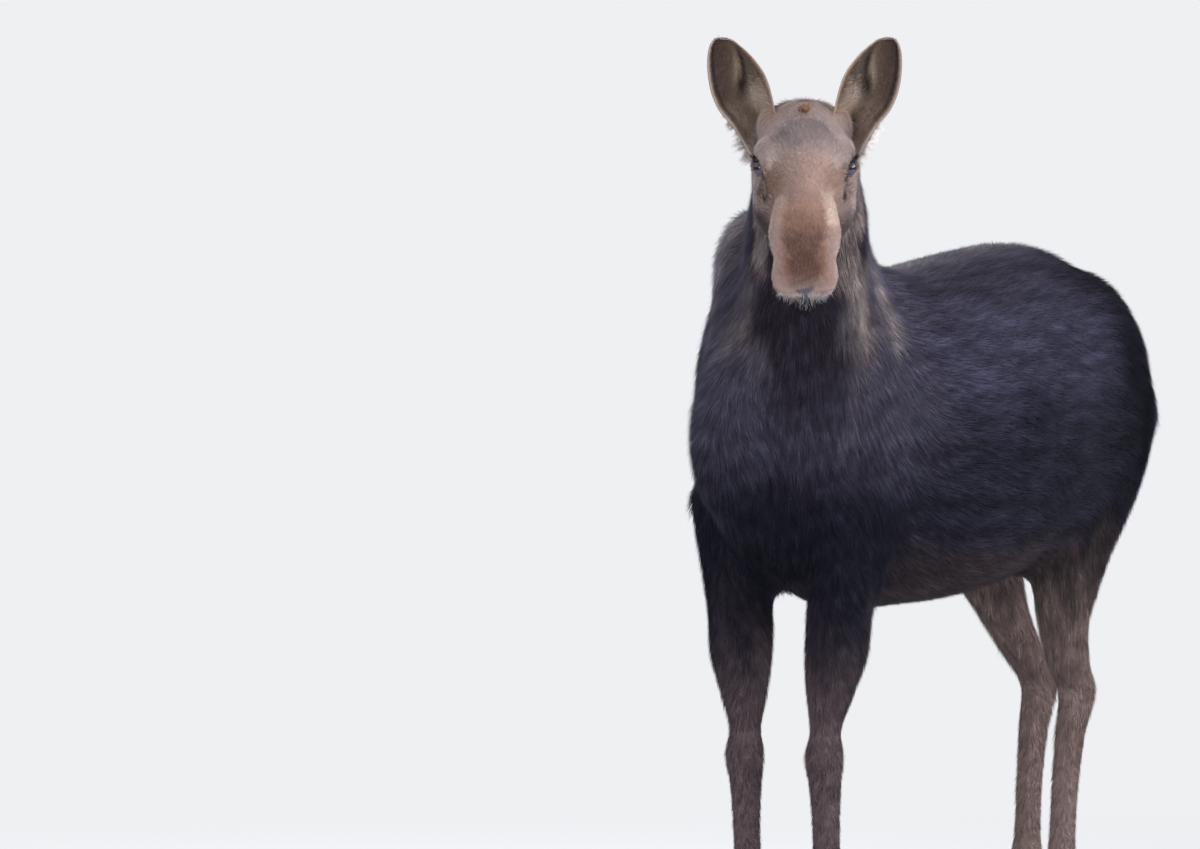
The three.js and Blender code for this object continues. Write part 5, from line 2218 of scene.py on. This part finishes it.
@dataclass(frozen=True)
class Eyeball:
    """One eyeball: a sphere whose cornea stands out by a bell of the angle from the eye's axis."""

    side: int
    rings: int = 40
    columns: int = 56
    radius: float = EYE_RADIUS - 0.4
    cornea: float = 1.6
    iris: float = 16.0
    pupil: tuple[float, float] = (12.5, 3.8)
    white: tuple = (0.240, 0.195, 0.280)
    iris_colour: tuple = (0.072, 0.055, 0.088)
    pupil_colour: float = 0.002

    def _colours(self, eye: Place, across: Array, up: Array) -> Array:
        """The white, the iris with its dark rim, and the oblong pupil, which stays level.

        Args:
            eye: the eye's frame.
            across: the points' places along the slit.
            up: their places across it.

        Returns:
            Linear colours, (n, 3).
        """
        away = np.hypot(across, up)
        iris = ramp(away, self.iris + 1, self.iris - 1)[:, None]
        colour = np.array(self.white) * (1 - iris) + np.array(self.iris_colour) * iris
        colour = colour * (1 - 0.55 * hump(away, self.iris - 0.2, 1.0)[:, None])
        level = unit(np.cross(eye.axes[1], [0.0, 0.0, 1.0]))
        c, d = float(level @ eye.axes[0]), float(level @ eye.axes[2])
        long, tall = self.pupil
        oblong = np.hypot((across * c + up * d) / long, (up * c - across * d) / tall)
        pupil = ramp(oblong, 1.15, 0.85)[:, None]
        return colour * (1 - pupil) + self.pupil_colour * pupil

    def build(self, head: Place, finish: bpy.types.Material) -> None:
        """Makes the eyeball as a closed set of rings round its axis.

        Args:
            head: the head's frame.
            finish: the material.
        """
        eye = eye_place(head, self.side)
        tilt, turn = ring_grid(np.linspace(0.02, math.pi - 0.02, self.rings), self.columns)
        radius = self.radius + self.cornea * np.exp(-((tilt / 0.55) ** 2))
        local = np.stack([np.sin(tilt) * np.cos(turn), np.cos(tilt), np.sin(tilt) * np.sin(turn)], axis=1)
        poles = [[0, self.radius + self.cornea, 0], [0, -self.radius, 0]]
        shape = np.vstack([local * radius[:, None], *poles])
        placed = eye.world(shape)
        faces = capped_rings(placed, self.rings, self.columns)
        name = SIDES[self.side]
        colours = self._colours(eye, shape[:, 0], shape[:, 2])
        piece = mesh_object(f"eyeball_{name}", ANATOMY.placed(placed), faces, finish, colours)
        hand_over(piece, "eye", f"eye_{name}")


@dataclass(frozen=True)
class LidRim:
    """The bare rim of an eye's lids: a tube round the slit, laid on the eyeball, dark and thick above."""

    side: int
    across: float = 1.40
    above: float = 0.63
    below: float = 0.55
    thick: float = 1.6
    steps: int = 96
    sides: int = 10
    upper_colour: tuple = (0.012, 0.010, 0.011)
    lower_colour: tuple = (0.170, 0.135, 0.160)

    def build(self, head: Place, finish: bpy.types.Material) -> None:
        """Makes the tube; its path is the slit's almond, pushed out along the eyeball's own radius.

        Args:
            head: the head's frame.
            finish: the material.
        """
        eye = eye_place(head, self.side)
        turn = np.linspace(0, 2 * math.pi, self.steps, endpoint=False)
        tall = np.where(np.sin(turn) > 0, self.above, self.below)
        z = tall * np.sign(np.sin(turn)) * np.abs(np.sin(turn)) ** 1.25
        way = unit(np.stack([self.across * np.cos(turn), np.ones(self.steps), z], axis=1))
        path = way * (EYE_RADIUS + 1.1)
        ahead = unit(np.roll(path, -1, axis=0) - np.roll(path, 1, axis=0))
        across = unit(np.cross(way, ahead))
        spin = np.linspace(0, 2 * math.pi, self.sides, endpoint=False)
        upper = ramp(np.sin(turn), -0.25, 0.15)
        rear = upper * ramp(-np.cos(turn), -0.3, 0.7)
        wide = self.thick * (0.5 + 0.7 * upper + 0.9 * rear)[:, None, None]
        ring = np.cos(spin)[None, :, None] * across[:, None] + np.sin(spin)[None, :, None] * way[:, None]
        placed = eye.world((path[:, None] + wide * ring).reshape(-1, 3))
        j = np.arange(self.sides)
        k = (j + 1) % self.sides
        last = (self.steps - 1) * self.sides
        closing = np.stack([last + j, last + k, k, j], axis=1)
        faces = outward(placed, np.vstack([grid_faces(self.steps, self.sides, wrap=True), closing]))
        shade = np.repeat(upper, self.sides)[:, None]
        colours = np.array(self.upper_colour) * shade + np.array(self.lower_colour) * (1 - shade)
        name = f"lid_rim_{SIDES[self.side]}"
        hand_over(mesh_object(name, ANATOMY.placed(placed), [faces], finish, colours), "face_coat")


@dataclass(frozen=True)
class Hoof:
    """One toe of a cloven hoof: level outlines that shrink upwards, rounded at the sole's edge."""

    node: str
    way: int
    height: float = 84.0
    length: float = 146.0
    width: float = 55.0
    splay: float = 7.0
    growth: float = 0.0022

    def _outline(self, count: int) -> Array:
        """The sole's outline as three curves through the heel, the outer wall, the tip and the cleft.

        Args:
            count: the points on each curve.

        Returns:
            Points of the sole, (3 x count, 2), mm.
        """
        wide, long = self.width, self.length
        tip = np.array([wide * 0.2, -long * 0.6])
        heel, turn = np.array([0, long * 0.36]), np.array([wide * 0.88, long * 0.26])

        def quadratic(a: Array, b: Array, c: Array, t: Array) -> Array:
            """A curve from a to c drawn towards b."""
            return (1 - t) ** 2 * a + 2 * t * (1 - t) * b + t * t * c

        t = np.linspace(0, 1, count, endpoint=False)[:, None]
        first = quadratic(heel, np.array([wide * 0.5, long * 0.5]), turn, t)
        b, c = np.array([wide * 1.16, -long * 0.1]), np.array([wide * 0.92, -long * 0.42])
        second = (1 - t) ** 3 * turn + 3 * t * (1 - t) ** 2 * b + 3 * t * t * (1 - t) * c + t**3 * tip
        third = quadratic(tip, np.array([0, -long * 0.2]), heel, t)
        return np.concatenate([first, second, third])

    def build(self, finish: bpy.types.Material) -> None:
        """Makes the toe, set by its node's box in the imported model.

        Each level scales the outline to (1 - 0.16 t, 1 - 0.36 t) and moves it back 18 t, with low rings
        of growth; the lowest levels turn in to a rounded edge and the top closes under the hair.

        Args:
            finish: the material.
        """
        outline = self._outline(26)
        levels = np.array([0, 0, 0.012, 0.035, *np.linspace(0.08, 0.97, 16), 1.0, 1.02])
        pull = np.array([0.90, 0.975, 0.992, 1.0, *np.ones(16), 0.93, 0.55])
        rings = self.growth * np.sin(levels * 46) * ramp(levels, 0.05, 0.2)
        middle = outline.mean(axis=0)
        shapes = []
        for t, p, r in zip(levels, pull, rings):
            flat = (outline - middle) * (p + r) + middle
            flat = flat * [1 - 0.16 * t, 1 - 0.36 * t] + [0, 18 * t]
            shapes.append(np.column_stack([flat, np.full(len(flat), t * self.height)]))
        points = np.vstack([*shapes, shapes[0].mean(axis=0), shapes[-1].mean(axis=0)])
        points[:, 0] *= self.way
        turn = self.way * math.radians(self.splay)
        cos, sin = math.cos(turn), math.sin(turn)
        points[:, :2] = points[:, :2] @ np.array([[cos, sin], [-sin, cos]])
        low, high = (np.array(corner[:2]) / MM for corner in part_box(self.node))
        span = points[:-2, :2].max(axis=0) + points[:-2, :2].min(axis=0)
        points[:, :2] += (low + high) / 2 - span / 2
        faces = capped_rings(points, len(levels), len(outline))
        hand_over(mesh_object(f"horn_{self.node}", points * MM, faces, finish), "horn", self.node)


@dataclass(frozen=True)
class Dewclaw:
    """A blunt dewclaw: rings round a short axis that shrink to a rounded tip."""

    node: str
    lean: float = -30.0
    radii: tuple[float, float, float] = (12.5, 15.0, 25.0)
    rings: int = 18
    columns: int = 24

    def build(self, finish: bpy.types.Material) -> None:
        """Makes the claw, in the middle of its node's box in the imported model.

        Args:
            finish: the material.
        """
        t, turn = ring_grid(np.linspace(0.03, math.pi - 0.03, self.rings), self.columns)
        girth = np.sin(t) ** 0.8 * (1 + 0.14 * np.cos(t)) * (1 + 0.02 * np.sin(9 * t))
        wide, long, tall = self.radii
        level = [wide * girth * np.cos(turn), long * girth * np.sin(turn)]
        shape = np.stack([*level, tall * np.cos(t)], axis=1)
        shape = np.vstack([shape, [0, 0, tall], [0, 0, -tall]])
        a = math.radians(self.lean)
        shape[:, 1:] = shape[:, 1:] @ np.array([[math.cos(a), math.sin(a)], [-math.sin(a), math.cos(a)]])
        low, high = (np.array(corner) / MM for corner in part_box(self.node))
        points = shape + (low + high) / 2
        faces = capped_rings(points, self.rings, self.columns)
        hand_over(mesh_object(f"horn_{self.node}", points * MM, faces, finish), "horn", self.node)


class LongHairs:
    """The single long hairs of the face: whiskers, lashes, the chin's beard and the curl on the crown."""

    def __init__(self, anatomy: Anatomy, skin: Skin, rng: np.random.Generator) -> None:
        """Keeps what the hairs are placed by."""
        self.anatomy, self.skin, self.rng = anatomy, skin, rng

    def _settled(self, s: Array, a: Array, u: Array, rounds: int) -> tuple[Array, Array, Array]:
        """Places of the head's frame moved onto the skin: the points, the normals and their places."""
        at, normal = self.skin.settle(self.anatomy.head.world(np.stack([s, a, u], axis=1)), rounds)
        return at, normal, self.anatomy.head.local(at)

    def _lower(self, q: Array) -> Array:
        """The spots of hairs of the lips and chin on the unwrap."""
        return np.stack([(q[:, 1] - 400) / 300, (q[:, 0] + 80) / 160], axis=1)

    def _roots(
        self, at: Array, normal: Array, lie: Array, colour: Array, spot: Array, sizes: tuple
    ) -> Roots:
        """Straight hairs.

        Args:
            at: their roots.
            normal: the skin's normals there.
            lie: which way they run.
            colour: their colours.
            spot: their spots on the unwrap.
            sizes: the ranges of their lengths and widths, and their height, mm.

        Returns:
            The roots.
        """
        lengths, widths, height = sizes
        count = len(at)
        length, width = self.rng.uniform(*lengths, count), self.rng.uniform(*widths, count)
        return Roots(at, normal, lie, colour, length, width, np.full(count, height), np.zeros(count), spot)

    def whiskers(self, count: int = 1100) -> Roots:
        """Stiff white hairs on the chin and along the lower edge of the lips.

        Args:
            count: how many are drawn.

        Returns:
            Their roots.
        """
        rng = self.rng
        s, a, u = rng.uniform(-70, 70, count), rng.uniform(455, 604, count), rng.uniform(-132, -66, count)
        at, normal, q = self._settled(s, a, u, 6)
        good = (q[:, 2] < -58 - 0.25 * np.abs(q[:, 0])) | ((np.abs(q[:, 0]) > 52) & (q[:, 2] < -30))
        good &= np.abs(self.skin.level(at)) < 1
        at, normal, q = at[good], normal[good], q[good]
        ahead = self.anatomy.head.turn([0, 0.45, -0.55])
        lie = unit(normal * 1.1 + ahead + 0.35 * rng.normal(size=at.shape))
        colour = np.array([0.76, 0.74, 0.78]) * rng.uniform(0.3, 1.0, (len(at), 1))
        return self._roots(at, normal, lie, colour, self._lower(q), ((6, 19), (0.5, 1.0), 1.0))

    def lashes(self, count: int = 150) -> Roots:
        """Dark lashes along each upper lid, curving out and down from its rim.

        Args:
            count: how many each eye has.

        Returns:
            Their roots.
        """
        rng, sets = self.rng, []
        for side in SIDES:
            eye = eye_place(self.anatomy.head, side)
            turn = math.pi - 0.02 - (math.pi - 0.6) * rng.uniform(0, 1, count) ** 1.7
            x, z = 1.36 * np.cos(turn), 0.68 * np.sin(turn) ** 1.25
            way = unit(np.stack([x, np.ones(count), z], axis=1))
            out = eye.turn(way)
            rear = ramp(-x, -0.3, 0.9)
            droop = np.stack([-0.6 * rear - 0.1, 0.3 * np.ones(count), 0.5 - 0.7 * (1 - rear)], axis=1)
            lie = unit(out * 0.8 + eye.turn(droop) + 0.08 * rng.normal(size=(count, 3)))
            length = 6 + 11 * rear + rng.uniform(-2, 3, count)
            colour = np.array((0.012, 0.010, 0.010)) * rng.uniform(0.7, 1.4, (count, 1))
            spot = np.stack([0.5 + 0.35 * x, 0.25 + 0.5 * (side < 0) + 0.1 * z], axis=1)
            at, blank = eye.world(way * (EYE_RADIUS + 2.2)), np.ones(count)
            sets.append(Roots(at, out, lie, colour, length, 1.1 * blank, 2.5 * blank, 0 * blank, spot))
        return joined(sets)

    def beard(self, count: int = 5200) -> Roots:
        """The black hair under the lower lip.

        Args:
            count: how many are drawn.

        Returns:
            Their roots.
        """
        rng = self.rng
        s, a, u = rng.uniform(-46, 46, count), rng.uniform(440, 580, count), rng.uniform(-150, -100, count)
        at, normal, q = self._settled(s, a, u, 6)
        good = (q[:, 2] < -104) & (q[:, 1] > 436) & (np.abs(self.skin.level(at)) < 1)
        at, normal, q = at[good], normal[good], q[good]
        lie = unit(normal * 0.5 + self.anatomy.head.turn([0, 0.15, -0.9]) + 0.2 * rng.normal(size=at.shape))
        lie = unit(lie - 0.35 * (lie * normal).sum(axis=1, keepdims=True) * normal)
        colour = np.array((0.014, 0.012, 0.016)) * rng.uniform(0.6, 1.8, (len(at), 1))
        return self._roots(at, normal, lie, colour, self._lower(q), ((12, 28), (1.1, 1.8), 2.0))

    def cowlick(self, count: int = 190) -> Roots:
        """The small orange tuft that stands up in the middle of the crown.

        Args:
            count: how many are drawn.

        Returns:
            Their roots.
        """
        rng = self.rng
        s, a = rng.normal(0, 4.5, count), rng.normal(90, 7, count)
        at, normal, q = self._settled(s, a, np.full(count, 97.0), 4)
        fan = np.stack([0.020 * q[:, 0], 0.35 - 0.01 * (q[:, 1] - 88), np.full(count, 0.9)], axis=1)
        lie = unit(self.anatomy.head.turn(fan) + 0.16 * rng.normal(size=(count, 3)))
        colour = np.array(Tone.COWLICK.value) * rng.uniform(0.5, 1.25, (count, 1))
        spot = np.stack([0.5 + q[:, 1] / 600, 0.5 + q[:, 0] / 160], axis=1)
        return self._roots(at, normal, lie, colour, spot, ((9, 20), (1.0, 1.6), 1.0))

    def build(self, finish: bpy.types.Material) -> None:
        """Makes the four pieces of long hair.

        Args:
            finish: the material.
        """
        sets = (
            ("whiskers", self.whiskers(), Style.LOCK),
            ("lashes", self.lashes(), Style.LOCK),
            ("coat_chin", self.beard(), Style.SPIKE),
            ("coat_cowlick", self.cowlick(), Style.LOCK),
        )
        for name, roots, style in sets:
            dress(name, "face_coat", roots, np.zeros(len(roots.at), int), style, self.rng, finish)


# ---------------------------------------------------------------- the studio


@dataclass(frozen=True)
class Lamp:
    """An area lamp that looks at a point."""

    name: str
    at: tuple
    to: tuple
    size: float
    power: float
    colour: tuple

    def hang(self) -> None:
        """Adds the lamp."""
        data = bpy.data.lights.new(self.name, "AREA")
        data.shape, data.size, data.energy, data.color = "DISK", self.size, self.power, self.colour
        lamp = bpy.data.objects.new(self.name, data)
        lamp.matrix_world = looking(self.at, self.to)
        bpy.context.scene.collection.objects.link(lamp)


def looking(at: tuple, to: tuple) -> Matrix:
    """A matrix for a lamp or camera at a point, looking at another, with +Z up."""
    turn = (Vector(to) - Vector(at)).to_track_quat("-Z", "Y")
    return Matrix.Translation(at) @ turn.to_matrix().to_4x4()


@dataclass(frozen=True)
class Studio:
    """A pale floor and backdrop, soft lamps, and the camera."""

    pale: tuple = (0.86, 0.87, 0.89, 1.0)
    ground: tuple = (0.60, 0.61, 0.63, 1)
    sky: tuple = (0.93, 0.96, 1.0, 1)
    sky_strength: float = 0.50
    fade: tuple[float, float] = (2.0, 5.5)  # from where to where the floor passes into the backdrop, m
    radii: tuple = (0.001, 2.0, 4.0, 8.0, 14.0, 22.0)
    columns: int = 96
    lamps: tuple = (
        Lamp("lamp_sky", (0.5, -1.5, 6.5), (0.0, 0.0, 1.0), 6.0, 150.0, (0.92, 0.95, 1.0)),
        Lamp("lamp_front", (2.2, -8.9, 3.4), (0.2, -0.6, 1.5), 5.0, 500.0, (1.0, 0.97, 0.94)),
        Lamp("lamp_right", (8.0, -0.2, 3.4), (0.2, -0.5, 1.5), 2.5, 340.0, (1.0, 0.98, 0.96)),
        Lamp("lamp_rim_right", (6.0, 4.5, 4.5), (0.2, -0.3, 1.5), 2.5, 460.0, (1.0, 0.98, 0.96)),
        Lamp("lamp_rim_left", (-5.0, 3.5, 4.5), (0.0, -0.5, 1.6), 2.5, 260.0, (0.95, 0.97, 1.0)),
    )
    lens: float = 267.0
    eye: tuple = (10.1824, -17.4391, 1.9951)
    ahead: tuple = (-0.53254, 0.84568, -0.03495)

    def build(self) -> None:
        """Sets the whole studio up."""
        self._floor()
        self._world()
        for lamp in self.lamps:
            lamp.hang()
        self._camera()

    def _floor(self) -> None:
        """A wide pale disc that fades to the backdrop's colour far out and keeps the shadow."""
        made, tree = new_material("pale floor")
        place = tree.node("ShaderNodeTexCoord").outputs["Object"]
        away = tree.node("ShaderNodeVectorMath", {0: place}, operation="LENGTH").outputs["Value"]
        near, far = self.fade
        reach = {"From Min": near, "From Max": far, "Value": away}
        fade = tree.node("ShaderNodeMapRange", reach, interpolation_type="SMOOTHSTEP").outputs["Result"]
        seen = tree.math("MULTIPLY", fade, tree.node("ShaderNodeLightPath").outputs["Is Camera Ray"])
        ground = tree.node("ShaderNodeBsdfDiffuse", {"Color": self.ground})
        glow = tree.node("ShaderNodeEmission", {"Color": self.pale})
        mix = tree.node("ShaderNodeMixShader", {"Fac": seen, 1: ground.outputs[0], 2: glow.outputs[0]})
        tree.node("ShaderNodeOutputMaterial", {"Surface": mix.outputs[0]})
        radius, turn = ring_grid(np.array(self.radii), self.columns)
        points = np.column_stack([radius * np.cos(turn), radius * np.sin(turn), 0 * turn])
        piece = mesh_object("floor", points, [grid_faces(len(self.radii), self.columns, wrap=True)], made)

    def _world(self) -> None:
        """Soft grey light from all round, while the camera sees the pale backdrop."""
        world = bpy.data.worlds.new("studio")
        bpy.context.scene.world = world
        world.use_nodes = True
        tree = Tree(world.node_tree)
        soft = tree.node("ShaderNodeBackground", {"Color": self.sky, "Strength": self.sky_strength})
        shown = tree.node("ShaderNodeBackground", {"Color": self.pale})
        seen = tree.node("ShaderNodeLightPath").outputs["Is Camera Ray"]
        mix = tree.node("ShaderNodeMixShader", {"Fac": seen, 1: soft.outputs[0], 2: shown.outputs[0]})
        tree.node("ShaderNodeOutputWorld", {"Surface": mix.outputs[0]})

    def _camera(self) -> None:
        """A long lens far off, a little above the back's height, ahead of the animal and to its left."""
        data = bpy.data.cameras.new("camera")
        data.lens, data.sensor_width, data.clip_end = self.lens, 36.0, 200.0
        camera = bpy.data.objects.new("camera", data)
        camera.matrix_world = looking(self.eye, tuple(a + d for a, d in zip(self.eye, self.ahead)))
        bpy.context.scene.collection.objects.link(camera)
        bpy.context.scene.camera = camera
        bpy.context.scene.view_settings.view_transform = "Standard"


# ---------------------------------------------------------------- putting it together


def main() -> None:
    """Builds the studio, the skin, the coat, the eyes and the horn, in that order."""
    began = time.time()
    rng = np.random.default_rng(SEED)
    Studio().build()
    markings = Markings(ANATOMY)
    mottle = mottle_group()
    hair = HairFinish("coat").material(mottle)
    hide = HairFinish("skin", roughness=0.75, bump=0.6, strand=0.3).material(mottle)
    bare = HairFinish("bare lid", roughness=0.3, strand=0.1).material(mottle)
    horn, wet = HornFinish().material(), EyeFinish().material()

    ears = [Ear(side) for side in SIDES]
    skin = Skin(ANATOMY)
    points, quads, normals = skin.net()
    LOG.info("net of %d points at %.1f s", len(points), time.time() - began)
    skin.build(points, quads, markings, ears, hide)
    Coat(ANATOMY, markings, rng).build(points, quads, normals, hair)
    for ear in ears:
        EarCoat(ear, ANATOMY, markings, rng).build(hair)
    LongHairs(ANATOMY, skin, rng).build(hair)
    for side in SIDES:
        Eyeball(side).build(ANATOMY.head, wet)
        LidRim(side).build(ANATOMY.head, bare)
    for end, side in product(("fore", "hind"), SIDES):
        for toe, way in (("inner", -side), ("outer", side)):
            Hoof(f"hoof_{end}_{SIDES[side]}_{toe}", way).build(horn)
            Dewclaw(f"dewclaw_{end}_{SIDES[side]}_{toe}").build(horn)
    LOG.info("built in %.1f s", time.time() - began)


if __name__ == "__main__":
    main()
